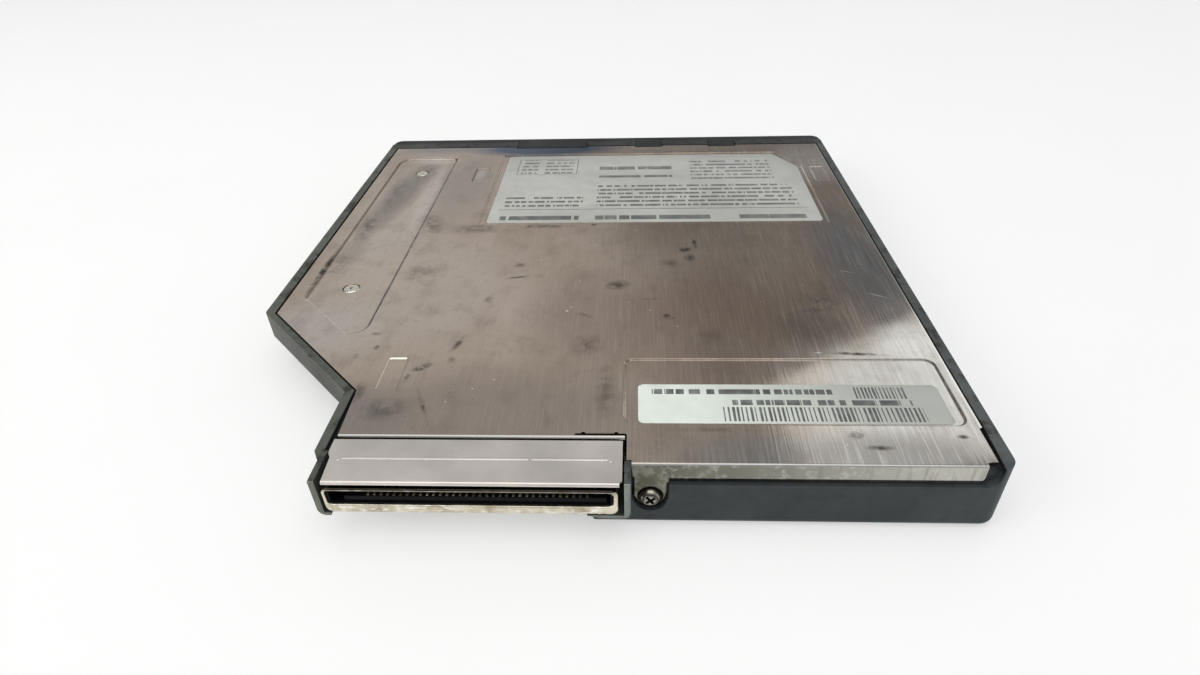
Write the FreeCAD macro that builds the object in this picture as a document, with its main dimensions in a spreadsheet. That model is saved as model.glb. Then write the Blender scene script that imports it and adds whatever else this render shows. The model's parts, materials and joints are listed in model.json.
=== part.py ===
import FreeCAD, Part
import math
import os
import Sketcher

# A slim floppy disk drive module, label side up. Every piece is drawn from the module's rear
# left corner: x runs along the rear wall, y from the rear wall to the front bezel, z upwards.
# One offset then puts the origin under the middle of the whole module. Millimetres.

DIMENSIONS = {
    # case
    "case_w": 129.0, "case_d": 138.0, "case_t": 12.7, "plug_out": 3.5,
    "corner_r": 2.5, "bottom_r": 1.6, "floor_t": 1.0, "rear_wall": 2.6, "front_wall": 3.2,
    "cut_run": 24.3, "cut_end_y": 17.0, "rim_left": 1.95, "rim_right": 1.7, "rim_cut": 1.3,
    "ledge_w": 1.6, "ledge_z": 12.1,
    "rail_in": 4.6, "rail_top": 7.2, "rail_front": 120.0, "rail_wall": 1.2,
    "bay_left": 26.4, "bay_right": 72.0, "bay_wall": 0.9, "bay_back": 8.0, "bay_floor": 5.9,
    "foot_right": 27.4, "foot_front": -1.5, "under_back": 4.8, "under_right": 67.0,
    "pocket_right": 127.0, "flange_low": 9.05,
    # bezel and disk slot
    "bezel_t": 3.4, "slot_left": 30.9, "slot_right": 123.1, "slot_low": 7.1, "slot_high": 11.0,
    "door_y": 135.5, "door_z": 11.3, "door_t": 0.55, "door_pin_r": 0.3, "lip_y": 136.0,
    "door_knuckle_r": 0.42,
    "inner_low": 6.4, "inner_high": 11.8, "inner_left": 29.5, "inner_right": 124.5,
    "button_left": 33.0, "button_right": 47.0, "button_low": 2.0, "button_high": 5.3,
    "lamp_left": 52.0, "lamp_right": 55.0, "lamp_low": 3.0, "lamp_high": 4.2,
    # sheet metal
    "cover_t": 0.45, "cover_top": 12.6, "press": 0.3, "flange_y": 0.7, "edge_gap": 0.4,
    "tab_left": 73.5, "tab_right": 78.3, "screw_x": 75.9, "screw_z": 5.75,
    # rear connector
    "shell_left": 26.9, "shell_right": 71.1, "shell_low": 6.0, "shell_high": 11.2,
    "mouth_left": 27.4, "mouth_right": 70.4, "mouth_low": 7.6, "mouth_high": 10.6,
    "lining_t": 0.3, "tongue_y": -2.8, "tongue_low": 8.05, "tongue_high": 8.95,
    "pin_pitch": 1.0, "pin_first": 33.3, "pin_w": 0.38, "pin_t": 0.24,
    # drive frame, disk holder and slider
    "frame_left": 29.0, "frame_right": 125.0, "frame_t": 0.6, "centre_x": 77.0,
    "spindle_y": 85.6, "holder_left": 31.3, "holder_right": 122.7, "holder_back": 39.5,
    "holder_front": 127.5, "holder_low": 6.9, "holder_high": 11.35, "holder_t": 0.5,
    "drop": 2.2, "travel": 6.5, "cam_pin_r": 0.6, "cam_pin_z": 9.0, "cam_back": 52.0,
    "cam_front": 115.0, "cam_half": 0.85, "slider_left": 30.4, "slider_right": 123.6,
    # heads
    "rod_r": 1.0, "rod_z": 3.7, "rod_left": 68.0, "rod_right": 86.0, "head_y": 46.1,
    "carriage_back": 11.6, "carriage_front": 22.4, "hinge_y": 13.0, "hinge_z": 10.4,
    "screw_axis_x": 104.0, "screw_axis_z": 6.6, "lead_r": 1.1,
    # spindle motor
    "board_t": 0.8, "shaft_r": 1.0, "rotor_r": 20.5, "rotor_top": 4.8, "chuck_r": 11.0,
    "latch_x": 58.0, "latch_y": 33.0, "latch_reach": 23.0, "latch_low": 7.6,
    "latch_high": 8.5,
}

CLEAR = 0.2  # gap left round a piece that drops into or through another
DIAGONAL = math.sqrt(2)
LATCH_TURN = 32.0  # degrees that the latch lever leans from +Y at rest
TEETH = 12
PINS_PER_ROW = 34

doc = FreeCAD.newDocument("floppy_drive")
sheet = doc.addObject("Spreadsheet::Sheet", "Dims")
for row, (alias, number) in enumerate(DIMENSIONS.items(), start=1):
    sheet.set("A%d" % row, alias)
    sheet.set("B%d" % row, str(number))
    sheet.setAlias("B%d" % row, alias)
doc.recompute()


class Size:
    """A length that keeps the sheet expression it is worked out from."""

    def __init__(self, value, text):
        self.value = value
        self.text = text

    def joined(self, sign, other, value):
        return Size(value, "(%s %s %s)" % (self.text, sign, size(other).text))

    def __add__(self, other):
        return self.joined("+", other, self.value + size(other).value)

    def __sub__(self, other):
        return self.joined("-", other, self.value - size(other).value)

    def __mul__(self, other):
        return self.joined("*", other, self.value * size(other).value)

    def __truediv__(self, other):
        return self.joined("/", other, self.value / size(other).value)

    def __radd__(self, other):
        return size(other) + self

    def __rsub__(self, other):
        return size(other) - self

    def __rmul__(self, other):
        return size(other) * self

    def __neg__(self):
        return size(0) - self


def size(number):
    return number if isinstance(number, Size) else Size(float(number), "(%.6g)" % number)


class Sizes:
    """The sheet's cells as attributes: d.case_w is the cell with that alias."""

    def __getattr__(self, alias):
        return Size(DIMENSIONS[alias], "Dims." + alias)


d = Sizes()
DATUM = (-d.case_w / 2, (d.plug_out - d.case_d) / 2, size(0))
pieces = []


def bind(feature, prop, length):
    feature.setExpression(prop, size(length).text)


def body(label, at=(0, 0, 0), turn=0.0):
    """A new sub-part, drawn from the datum corner or from a point given from it."""
    piece = doc.addObject("PartDesign::Body", label)
    piece.Label = label
    place(piece, at, turn)
    pieces.append(piece)
    return piece


def place(piece, at, turn=0.0):
    piece.Placement = FreeCAD.Placement(
        FreeCAD.Vector(), FreeCAD.Rotation(FreeCAD.Vector(0, 0, 1), turn))
    for axis, origin, offset in zip("xyz", DATUM, at):
        bind(piece, "Placement.Base." + axis, origin + offset)


def block(piece, name, low, high, cut=False):
    kind = "Subtractive" if cut else "Additive"
    feature = piece.newObject("PartDesign::%sBox" % kind, name)
    for prop, start, end in zip(("Length", "Width", "Height"), low, high):
        bind(feature, prop, size(end) - start)
    for axis, start in zip("xyz", low):
        bind(feature, "Placement.Base." + axis, start)
    return feature


TURNS = {
    "X": FreeCAD.Rotation(FreeCAD.Vector(0, 1, 0), 90),
    "Y": FreeCAD.Rotation(FreeCAD.Vector(1, 0, 0), -90),
    "Z": FreeCAD.Rotation(),
}


def rod(piece, name, axis, start, radius, length, cut=False, tip_radius=None):
    """A cylinder, or a cone where a tip radius is given, from start along a row axis."""
    kind = "Subtractive" if cut else "Additive"
    shape = "Cylinder" if tip_radius is None else "Cone"
    feature = piece.newObject("PartDesign::%s%s" % (kind, shape), name)
    if tip_radius is None:
        bind(feature, "Radius", radius)
    else:
        bind(feature, "Radius1", radius)
        bind(feature, "Radius2", tip_radius)
    bind(feature, "Height", length)
    feature.Placement = FreeCAD.Placement(FreeCAD.Vector(), TURNS[axis])
    for letter, offset in zip("xyz", start):
        bind(feature, "Placement.Base." + letter, offset)
    return feature


def origin_feature(piece, role):
    return [part for part in piece.Origin.OriginFeatures if part.Role == role][0]


def outline(piece, name, plane, points, offset):
    """A closed sketch of straight sides, every corner held by two driven distances."""
    sketch = piece.newObject("Sketcher::SketchObject", name + "_outline")
    sketch.AttachmentSupport = [(origin_feature(piece, plane + "_Plane"), "")]
    sketch.MapMode = "FlatFace"
    bind(sketch, "AttachmentOffset.Base.z", offset)
    corners = [(size(across), size(up)) for across, up in points]
    vectors = [FreeCAD.Vector(across.value, up.value, 0) for across, up in corners]
    count = len(corners)
    for index in range(count):
        side = Part.LineSegment(vectors[index], vectors[(index + 1) % count])
        sketch.addGeometry(side, False)
    for index in range(count):
        joint = Sketcher.Constraint("Coincident", index, 2, (index + 1) % count, 1)
        sketch.addConstraint(joint)
    for index, corner in enumerate(corners):
        for kind, length in zip(("DistanceX", "DistanceY"), corner):
            rule = Sketcher.Constraint(kind, -1, 1, index, 1, length.value)
            number = sketch.addConstraint(rule)
            sketch.setExpression("Constraints[%d]" % number, length.text)
    return sketch


def extrude(piece, name, plane, points, start, end, cut=False):
    """Pad or pocket an outline between two distances along the plane's own axis."""
    start, end = size(start), size(end)
    if plane == "XZ":
        offset = -start if cut else -end
    else:
        offset = end if cut else start
    sketch = outline(piece, name, plane, points, offset)
    feature = piece.newObject("PartDesign::Pocket" if cut else "PartDesign::Pad", name)
    feature.Profile = sketch
    bind(feature, "Length", end - start)
    return feature


def round_edges(piece, name, radius, chosen):
    doc.recompute()
    base = piece.Tip
    names = ["Edge%d" % number for number, edge in enumerate(base.Shape.Edges, start=1)
             if chosen(edge)]
    feature = piece.newObject("PartDesign::Fillet", name)
    feature.Base = (base, names)
    bind(feature, "Radius", radius)
    return feature


def near(first, second):
    return abs(first - size(second).value) < 0.02


def upright_at(*corners):
    """Picks the upright edges that stand on the given plan points."""
    def chosen(edge):
        box = edge.BoundBox
        upright = box.XLength < 0.01 and box.YLength < 0.01
        return upright and any(near(box.XMin, x) and near(box.YMin, y) for x, y in corners)
    return chosen


def polar(piece, feature, count):
    doc.recompute()
    pattern = piece.newObject("PartDesign::PolarPattern", feature.Name + "_round")
    pattern.Originals = [feature]
    pattern.Axis = (origin_feature(piece, "Z_Axis"), [""])
    pattern.Angle = 360
    pattern.Occurrences = count
    piece.Tip = pattern
    return pattern


def in_line(piece, feature, count, pitch):
    doc.recompute()
    pattern = piece.newObject("PartDesign::LinearPattern", feature.Name + "_row")
    pattern.Originals = [feature]
    pattern.Direction = (origin_feature(piece, "X_Axis"), [""])
    bind(pattern, "Length", pitch * (count - 1))
    pattern.Occurrences = count
    piece.Tip = pattern
    return pattern


def coil_spring(label, at, axis, radius, wire_r, pitch, length):
    """A wire swept along a helix that starts at a point given from the datum corner."""
    helix = doc.addObject("Part::Helix", label + "_helix")
    bind(helix, "Radius", radius)
    bind(helix, "Pitch", pitch)
    bind(helix, "Height", length)
    wire = doc.addObject("Part::Circle", label + "_wire")
    bind(wire, "Radius", wire_r)
    wire.Placement.Rotation = FreeCAD.Rotation(FreeCAD.Vector(1, 0, 0), 90)
    bind(wire, "Placement.Base.x", radius)
    sweep = doc.addObject("Part::Sweep", label)
    sweep.Sections = [wire]
    sweep.Spine = (helix, [])
    sweep.Solid = True
    sweep.Frenet = True
    sweep.Placement = FreeCAD.Placement(FreeCAD.Vector(), TURNS[axis])
    for letter, origin, offset in zip("xyz", DATUM, at):
        bind(sweep, "Placement.Base." + letter, origin + offset)
    return sweep


def slant(inset):
    """How far a corner of the 45 degree cut moves along the side it meets when inset."""
    return inset * (DIAGONAL - 1)


# Plan lines that several pieces share
cut_start_y = d.cut_end_y + d.cut_run
front_face = d.case_d - d.bezel_t
front_in = front_face - d.front_wall
right_in = d.case_w - d.rim_right - d.ledge_w
cover_low = d.cover_top - d.cover_t
recess_top = d.cover_top - d.press
frame_top = d.floor_t + d.frame_t
clip_low = d.case_t - 0.5
clip_tip = front_in - 1.1
SIDES = ("left", "right")
CLIPS = (("wide", 38.9, 59.4), ("middle", 74.2, 81.7), ("narrow", 95.7, 103.1))
COVER_SCREWS = (("near", 14.1, 51.2), ("far", 14.2, 112.6))
BOARD_POSTS = (("left", 34.0, 24.0), ("right", 60.0, 24.0))
CHASSIS_SCREWS = (("rear_left", 36.0, 34.0), ("rear_right", 118.0, 34.0),
                  ("front_left", 50.0, 126.0), ("front_right", 104.0, 126.0))


def mirrored(side, offset, width):
    """Low and high x of a strip at a given offset from the frame's left or right side."""
    if side == "left":
        return d.frame_left + offset, d.frame_left + offset + width
    return d.frame_right - offset - width, d.frame_right - offset


def housing_tray():
    piece = body("housing_tray")
    rail = d.rail_in
    inner = d.rail_in + d.rail_wall
    ledge = d.rim_left + d.ledge_w
    lower = [
        (d.under_right, 0), (d.case_w, 0), (d.case_w, front_face), (0, front_face),
        (0, d.rail_front), (rail, d.rail_front), (rail, cut_start_y + slant(rail)),
        (d.cut_run + rail, d.cut_end_y + slant(rail)), (d.cut_run + rail, d.under_back),
        (d.under_right, d.under_back)]
    upper = [
        (d.case_w, 0), (d.case_w, front_face), (0, front_face), (0, cut_start_y),
        (d.cut_run, d.cut_end_y), (d.cut_run, 2.9), (d.bay_left - d.bay_wall, 0.8),
        (d.bay_left - d.bay_wall, -d.plug_out), (d.bay_left, -d.plug_out),
        (d.bay_left, d.bay_back), (d.bay_right, d.bay_back), (d.bay_right, -d.plug_out),
        (d.bay_right + d.bay_wall, -d.plug_out), (d.bay_right + d.bay_wall, 0)]
    lower_hollow = [
        (d.under_right + d.rail_wall, d.rear_wall), (right_in, d.rear_wall),
        (right_in, front_in), (2.4, front_in), (2.4, d.rail_front + d.rail_wall),
        (inner, d.rail_front + d.rail_wall), (inner, cut_start_y + slant(inner)),
        (d.cut_run + inner, d.cut_end_y + slant(inner)),
        (d.cut_run + inner, d.under_back + d.rail_wall),
        (d.under_right + d.rail_wall, d.under_back + d.rail_wall)]
    upper_hollow = [
        (d.bay_right + d.bay_wall, d.rear_wall), (right_in, d.rear_wall),
        (right_in, front_in), (ledge, front_in), (ledge, cut_start_y + slant(ledge)),
        (d.cut_run + ledge, d.cut_end_y + slant(ledge)), (d.cut_run + ledge, 6),
        (d.bay_right + d.bay_wall, 6)]
    cut_line = cut_start_y + d.rim_cut * DIAGONAL
    cover_seat = [
        (d.bay_right + 1, -1), (d.pocket_right, -1), (d.case_w - d.rim_right, 9),
        (d.case_w - d.rim_right, front_in), (d.rim_left, front_in),
        (d.rim_left, cut_line - d.rim_left), (25.8, cut_line - 25.8), (25.8, 3),
        (d.bay_right, 3), (d.bay_right, 1.25), (d.bay_right + 1, 1.25)]
    extrude(piece, "lower_shell", "XY", lower, 0, d.rail_top)
    extrude(piece, "upper_band", "XY", upper, d.rail_top, d.case_t)
    # the connector bay's two cheeks, each turned in under the plug's shell at its foot
    foot_low = d.bay_floor - 0.5
    outside_left, outside_right = d.bay_left - d.bay_wall, d.bay_right + d.bay_wall
    left_foot = [
        (outside_left, -d.plug_out), (d.foot_right, -d.plug_out),
        (d.foot_right, d.foot_front), (d.cut_run + rail + 0.1, d.foot_front),
        (d.cut_run + rail + 0.1, d.bay_back), (outside_left, d.bay_back)]
    extrude(piece, "left_cheek", "XY", left_foot, foot_low, d.rail_top + 0.4)
    right_foot = [
        (66.4, d.bay_floor), (68.8, foot_low), (outside_right, foot_low),
        (outside_right, d.rail_top + 0.4), (d.bay_right, d.rail_top + 0.4),
        (d.bay_right, d.bay_floor)]
    extrude(piece, "right_cheek", "XZ", right_foot, -d.plug_out, 0.5)

    def cheek_edge(edge):
        box = edge.BoundBox
        outer = near(box.XMin, outside_left) or near(box.XMin, outside_right)
        return outer and near(box.XMax, box.XMin) and near(box.ZMax, foot_low)
    round_edges(piece, "cheek_round", 1.3, cheek_edge)
    round_edges(piece, "rear_corner", d.corner_r, upright_at((d.case_w, 0)))
    round_edges(piece, "cut_corner", 1.5, upright_at((0, cut_start_y)))

    def underside(edge):
        box = edge.BoundBox
        return box.ZMax < 0.01 and box.YMin < size(front_face).value - 1
    round_edges(piece, "underside_round", d.bottom_r, underside)
    extrude(piece, "lower_hollow", "XY", lower_hollow, d.floor_t, d.case_t, cut=True)
    extrude(piece, "upper_hollow", "XY", upper_hollow, d.rail_top + d.rail_wall, d.case_t,
            cut=True)
    extrude(piece, "cover_seat", "XY", cover_seat, d.ledge_z, d.case_t + 1, cut=True)
    block(piece, "connector_bay", (d.bay_left, -d.plug_out - 1, d.bay_floor),
          (d.bay_right, d.bay_back, d.case_t + 1), cut=True)
    # shallow pockets in the rear wall for the cover's folded flange and its screw tab
    pocket_floor = d.flange_y + d.cover_t + 0.05
    block(piece, "flange_pocket", (d.bay_right + 1, -1, d.flange_low - 0.1),
          (d.pocket_right, pocket_floor, d.case_t + 1), cut=True)

    def pocket_corner(edge):
        box = edge.BoundBox
        low = near(box.ZMin, d.flange_low - 0.1) and near(box.ZMax, d.flange_low - 0.1)
        return low and near(box.XMin, d.pocket_right) and near(box.XMax, d.pocket_right)
    round_edges(piece, "pocket_corner", 1.8, pocket_corner)
    tab_half = (d.tab_right - d.tab_left) / 2
    block(piece, "tab_pocket", (d.tab_left - CLEAR, -1, d.screw_z),
          (d.tab_right + 0.4, pocket_floor, d.flange_low), cut=True)
    block(piece, "tab_slot", (d.bay_right + 1.05, -1, d.screw_z - 0.4),
          (d.tab_left, pocket_floor + 1, d.flange_low + 0.8), cut=True)
    rod(piece, "tab_pocket_end", "Y", (d.screw_x, -1, d.screw_z), tab_half + CLEAR,
        pocket_floor + 1, cut=True)
    # screw bosses and board posts
    rod(piece, "rear_boss", "Y", (d.screw_x, pocket_floor, d.screw_z), 2.5, 6.5)
    rod(piece, "rear_boss_hole", "Y", (d.screw_x, 0, d.screw_z), 0.85, 7.2, cut=True)
    for name, x, y in COVER_SCREWS:
        rod(piece, name + "_boss", "Z", (x, y, 0.5), 2.3, 11.1)
        rod(piece, name + "_boss_hole", "Z", (x, y, 5), 0.75, 8, cut=True)
    for name, x, y in BOARD_POSTS:
        rod(piece, name + "_post", "Z", (x, y, 0.5), 1.6, 1.9)
    # openings in the front wall: disk slot, button, lamp, and notches for the bezel's clips
    block(piece, "slot_way", (d.frame_left, front_in - 1, d.inner_low),
          (d.frame_right, front_face + 1, d.inner_high), cut=True)
    block(piece, "button_way", (d.button_left - 0.3, front_in - 1, d.button_low - 0.3),
          (d.button_right + 0.3, front_face + 1, d.button_high + 0.3), cut=True)
    block(piece, "lamp_way", (d.lamp_left - CLEAR, front_in - 1, d.lamp_low - CLEAR),
          (d.lamp_right + CLEAR, front_face + 1, d.lamp_high + CLEAR), cut=True)
    for name, left, right in CLIPS:
        block(piece, name + "_notch", (left - CLEAR, front_in - 1, clip_low - 0.05),
              (right + CLEAR, front_face + 1, d.case_t + 1), cut=True)
        block(piece, name + "_notch_end", (left, front_in - 1, clip_low - 0.6),
              (right + 0.7, front_in + 0.9, d.case_t + 1), cut=True)
    for name, x, y in CHASSIS_SCREWS:
        rod(piece, name + "_sink", "Z", (x, y, 0), 2.1, 0.6, cut=True)
        rod(piece, name + "_hole", "Z", (x, y, 0), 1.1, 1.5, cut=True)
    return piece


def front_bezel():
    piece = body("front_bezel")
    block(piece, "front_bar", (0, front_face, 0), (d.case_w, d.case_d, d.case_t))
    round_edges(piece, "side_corners", d.corner_r,
                upright_at((0, d.case_d), (d.case_w, d.case_d)))

    def bottom_front(edge):
        box = edge.BoundBox
        return box.ZMax < 0.01 and box.YMax > size(front_face).value + 1
    round_edges(piece, "underside_round", d.bottom_r, bottom_front)

    def top_front(edge):
        box = edge.BoundBox
        high = size(d.case_t).value - 0.01
        return box.ZMin > high and box.YMax > size(front_face).value + 1
    round_edges(piece, "top_round", 0.6, top_front)
    block(piece, "slot", (d.slot_left, front_face - 1, d.slot_low),
          (d.slot_right, d.case_d + 1, d.slot_high), cut=True)
    block(piece, "door_room", (d.inner_left, front_face - 1, d.inner_low),
          (d.inner_right, d.lip_y, d.inner_high), cut=True)
    block(piece, "thumb_scoop", (d.centre_x - 13, d.lip_y + 0.6, d.slot_low - 1.6),
          (d.centre_x + 13, d.case_d + 1, d.slot_low + 1), cut=True)
    rod(piece, "door_sockets", "X", (d.inner_left - 1.6, d.door_y, d.door_z),
        d.door_pin_r + 0.06, d.inner_right - d.inner_left + 3.2, cut=True)
    block(piece, "button_way", (d.button_left - CLEAR, front_face - 1, d.button_low - CLEAR),
          (d.button_right + CLEAR, d.case_d + 1, d.button_high + CLEAR), cut=True)
    block(piece, "lamp_way", (d.lamp_left, front_face - 1, d.lamp_low),
          (d.lamp_right, d.case_d + 1, d.lamp_high), cut=True)
    for name, left, right in CLIPS:
        block(piece, name + "_clip", (left, clip_tip, clip_low),
              (right, front_face + 0.5, d.case_t))
    return piece


def slot_door():
    piece = body("slot_door")
    left, right = d.slot_left + 0.4, d.slot_right - 0.4
    block(piece, "flap", (left, d.door_y - 0.15, d.slot_low - 0.3),
          (right, d.door_y - 0.15 + d.door_t, d.door_z))
    rod(piece, "knuckle", "X", (left, d.door_y, d.door_z), d.door_knuckle_r, right - left)
    rod(piece, "pivot", "X", (d.inner_left - 1.3, d.door_y, d.door_z), d.door_pin_r,
        d.inner_right - d.inner_left + 2.6)
    return piece


def top_cover():
    piece = body("top_cover")
    cut_line = cut_start_y + d.rim_cut * DIAGONAL + d.edge_gap * DIAGONAL
    left = d.rim_left + 0.45
    right = d.case_w - d.rim_right - 0.3
    bend_y = d.flange_y + d.cover_t
    flange_right = d.pocket_right - 2.1
    plan = [
        (d.bay_right + 0.3, 6.3), (26.7, 6.3), (26.2, cut_line - 26.2),
        (left, cut_line - left), (left, front_in - d.edge_gap),
        (right, front_in - d.edge_gap), (right, 9), (right - 0.5, 8.8), (right - 0.5, 1.6),
        (flange_right, 1.6), (flange_right, d.flange_y), (d.bay_right + 1.05, d.flange_y),
        (d.bay_right + 1.05, 1.5), (d.bay_right + 0.3, 1.5)]
    extrude(piece, "sheet", "XY", plan, cover_low, d.cover_top)
    # the near edge folds down; beside the shield a slot with round reliefs frees the fold
    fold_back = 6.3 + d.cover_t
    block(piece, "near_fold", (27, 6.3, cover_low - 0.8), (72, fold_back, cover_low))
    block(piece, "near_slot", (64.2, fold_back, cover_low - 1), (72.05, 7.2, 13), cut=True)
    for name, x in (("left", 65.5), ("right", 70.65)):
        rod(piece, name + "_relief", "Z", (x, 7.2, cover_low - 1), 0.35, 3, cut=True)
    for name, left, right in CLIPS:
        block(piece, name + "_clip_notch", (left - 0.3, clip_tip - 0.25, cover_low - 1),
              (right + 0.3, front_in, 13), cut=True)
    block(piece, "rear_flange", (d.bay_right + 1.05, d.flange_y, d.flange_low),
          (flange_right, bend_y, cover_low))
    # pressed recesses: the sheet's underside goes down with its top
    strip = [(6, 47), (18.5, 34.5), (22.2, 34.5), (22.2, 122.5), (6, 122.5)]
    strip_under = [(5.7, 46.9), (18.4, 34.2), (22.5, 34.2), (22.5, 122.8), (5.7, 122.8)]
    label = [(35.9, 79.9), (119.6, 79.9), (119.6, 114.6), (113.6, 125), (35.9, 125)]
    label_under = [(35.6, 79.6), (119.9, 79.6), (119.9, 114.7), (113.8, 125.3),
                   (35.6, 125.3)]
    serial = [(71.9, 9.5), (125.3, 9.5), (125.3, 26.4), (71.9, 26.4)]
    serial_under = [(71.6, 9.2), (125.6, 9.2), (125.6, 26.7), (71.6, 26.7)]
    for name, top, under in (("strip", strip, strip_under), ("label", label, label_under),
                             ("serial", serial, serial_under)):
        extrude(piece, name + "_under", "XY", under, cover_low - d.press, cover_low + 0.1)
        extrude(piece, name + "_recess", "XY", top, recess_top, d.cover_top + 1, cut=True)
    round_edges(piece, "serial_corners", 2, upright_at(*serial))
    round_edges(piece, "strip_corner", 3, upright_at(strip[2], strip[3]))
    for name, x, y in (("far_left", 29.5, 105.8), ("near_left", 29.3, 17.3),
                       ("far_right", 121.6, 104.5)):
        block(piece, name + "_dimple", (x, y, d.cover_top - 0.2), (x + 3.6, y + 9.3, 13),
              cut=True)
    # screw tab with its round end, and the holes for the cover's screws
    tab_half = (d.tab_right - d.tab_left) / 2
    block(piece, "tab", (d.tab_left, d.flange_y, d.screw_z),
          (d.tab_right, bend_y, d.flange_low))
    rod(piece, "tab_end", "Y", (d.screw_x, d.flange_y, d.screw_z), tab_half, d.cover_t)
    rod(piece, "tab_hole", "Y", (d.screw_x, 0, d.screw_z), 1.1, 2, cut=True)
    block(piece, "tab_relief", (d.bay_right, 0, d.flange_low - 1),
          (d.tab_left, 2, d.flange_low + 0.8), cut=True)
    for name, x, y in COVER_SCREWS:
        rod(piece, name + "_hole", "Z", (x, y, cover_low - 1), 1.8, 3, cut=True)

    def outer_bend(edge):
        box = edge.BoundBox
        high = near(box.ZMin, d.cover_top) and near(box.ZMax, d.cover_top)
        return high and near(box.YMin, d.flange_y) and near(box.YMax, d.flange_y)
    round_edges(piece, "bend", 0.6, outer_bend)
    return piece


def connector_shield():
    piece = body("connector_shield")
    plan = [
        (27.4, -d.plug_out), (d.bay_right - 0.3, -d.plug_out), (d.bay_right - 0.3, 5.6),
        (26.5, 5.6), (26.5, 2.6), (27.1, 1.6)]
    low = d.cover_top - 0.4
    extrude(piece, "sheet", "XY", plan, low, d.cover_top)
    block(piece, "front_fold", (27.5, -d.plug_out, low - 0.15),
          (d.bay_right - 0.4, -d.plug_out + 0.4, low))
    block(piece, "ridge", (28.5, 1.4, d.cover_top), (69.3, 1.8, d.cover_top + 0.08))
    for name, x in (("left", 26.55), ("right", d.bay_right - 0.7)):
        block(piece, name + "_leg", (x, 3.4, d.shell_low), (x + 0.3, 5.4, low))
    return piece


def connector_shell():
    piece = body("connector_shell")
    block(piece, "sleeve", (d.shell_left, -d.plug_out, d.shell_low),
          (d.shell_right, 3, d.shell_high))

    def long_corner(edge):
        box = edge.BoundBox
        return box.YLength > 1 and box.XLength < 0.01 and box.ZLength < 0.01
    round_edges(piece, "corners", 1.1, long_corner)
    block(piece, "mouth", (d.mouth_left, -d.plug_out - 1, d.mouth_low),
          (d.mouth_right, 4, d.mouth_high), cut=True)
    for name, x in (("left", 29.2), ("right", 66.8)):
        block(piece, name + "_finger", (x, -3, d.shell_high - 0.1),
              (x + 0.8, -1.5, d.shell_high + 0.7))
    return piece


def connector_body():
    piece = body("connector_body")
    left, right = d.mouth_left + 0.1, d.mouth_right - 0.1
    low, high = d.mouth_low + 0.1, d.mouth_high - 0.1
    block(piece, "back", (left, 3, d.shell_low + 0.2),
          (d.mouth_right + 0.2, 7.4, d.shell_high - 0.1))
    block(piece, "lining", (left, 0.4 - d.plug_out, low), (right, 3, high))
    block(piece, "lining_mouth", (left + d.lining_t, -d.plug_out, low + d.lining_t / 2),
          (right - d.lining_t, 0.5, high - d.lining_t), cut=True)
    block(piece, "tongue", (left + 2.4, d.tongue_y, d.tongue_low),
          (right - 0.9, 0.6, d.tongue_high))
    return piece


def contact_pins():
    piece = body("contact_pins")
    board_top = 3.2
    tip = d.tongue_y + 0.2
    for name, low, bend in (("upper", d.tongue_high - d.pin_t / 2, 8.8),
                            ("lower", d.tongue_low - d.pin_t / 2, 8.14)):
        high = low + d.pin_t
        bent = [(tip, low), (bend - d.pin_t, low), (bend - d.pin_t, board_top),
                (bend, board_top), (bend, high), (tip, high)]
        pin = extrude(piece, name, "YZ", bent, d.pin_first, d.pin_first + d.pin_w)
        in_line(piece, pin, PINS_PER_ROW, d.pin_pitch)
    return piece


def connector_board():
    piece = body("connector_board")
    plan = [(30.5, 7.6), (71, 7.6), (71, 9.4), (64, 9.4), (64, 28), (30.5, 28)]
    extrude(piece, "board", "XY", plan, 2.4, 3.2)
    return piece


def chips(label, base_z, boxes):
    """Moulded chips that stand on a board: each is left, near, width, depth, height."""
    piece = body(label)
    for number, (x, y, width, depth, tall) in enumerate(boxes, start=1):
        block(piece, "chip_%d" % number, (x, y, base_z), (x + width, y + depth, base_z + tall))
    return piece


def label_plate(label, plan, corners):
    piece = body(label)
    extrude(piece, "paper", "XY", plan, recess_top, recess_top + 0.08)
    round_edges(piece, "corners", 1, upright_at(*[plan[index] for index in corners]))
    return piece


def pan_screw(piece, name, axis, start, length):
    """Cross-head pan screw that points along +Y from its head's outer face."""
    x, y, z = start
    rod(piece, name + "_head", axis, start, 1.95, 1.15)
    rod(piece, name + "_shank", axis, (x, size(y) + 1.15, z), 0.8, length)
    for part, wide, tall in (("across", 1.1, 0.25), ("upright", 0.25, 1.1)):
        block(piece, name + "_cross_" + part, (x - wide, size(y) - 1, z - tall),
              (x + wide, size(y) + 0.6, z + tall), cut=True)


def flat_screw(piece, name, x, y, face_z, head_r, shank_r, length, upwards):
    """Countersunk cross-head screw: its flat face lies at face_z."""
    face_z = size(face_z)
    head_t = 0.55
    if upwards:
        rod(piece, name + "_head", "Z", (x, y, face_z), head_r, head_t, tip_radius=shank_r)
        rod(piece, name + "_shank", "Z", (x, y, face_z + head_t), shank_r, length)
        low, high = face_z - 1, face_z + 0.35
    else:
        rod(piece, name + "_head", "Z", (x, y, face_z - head_t), shank_r, head_t,
            tip_radius=head_r)
        rod(piece, name + "_shank", "Z", (x, y, face_z - head_t - length), shank_r, length)
        low, high = face_z - 0.35, face_z + 1
    for part, wide, deep in (("across", 0.9, 0.18), ("along", 0.18, 0.9)):
        block(piece, name + "_cross_" + part, (x - wide, y - deep, low),
              (x + wide, y + deep, high), cut=True)


def rear_screw():
    piece = body("rear_screw")
    pan_screw(piece, "screw", "Y", (d.screw_x, d.flange_y - 1.15, d.screw_z), 6)
    return piece


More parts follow.
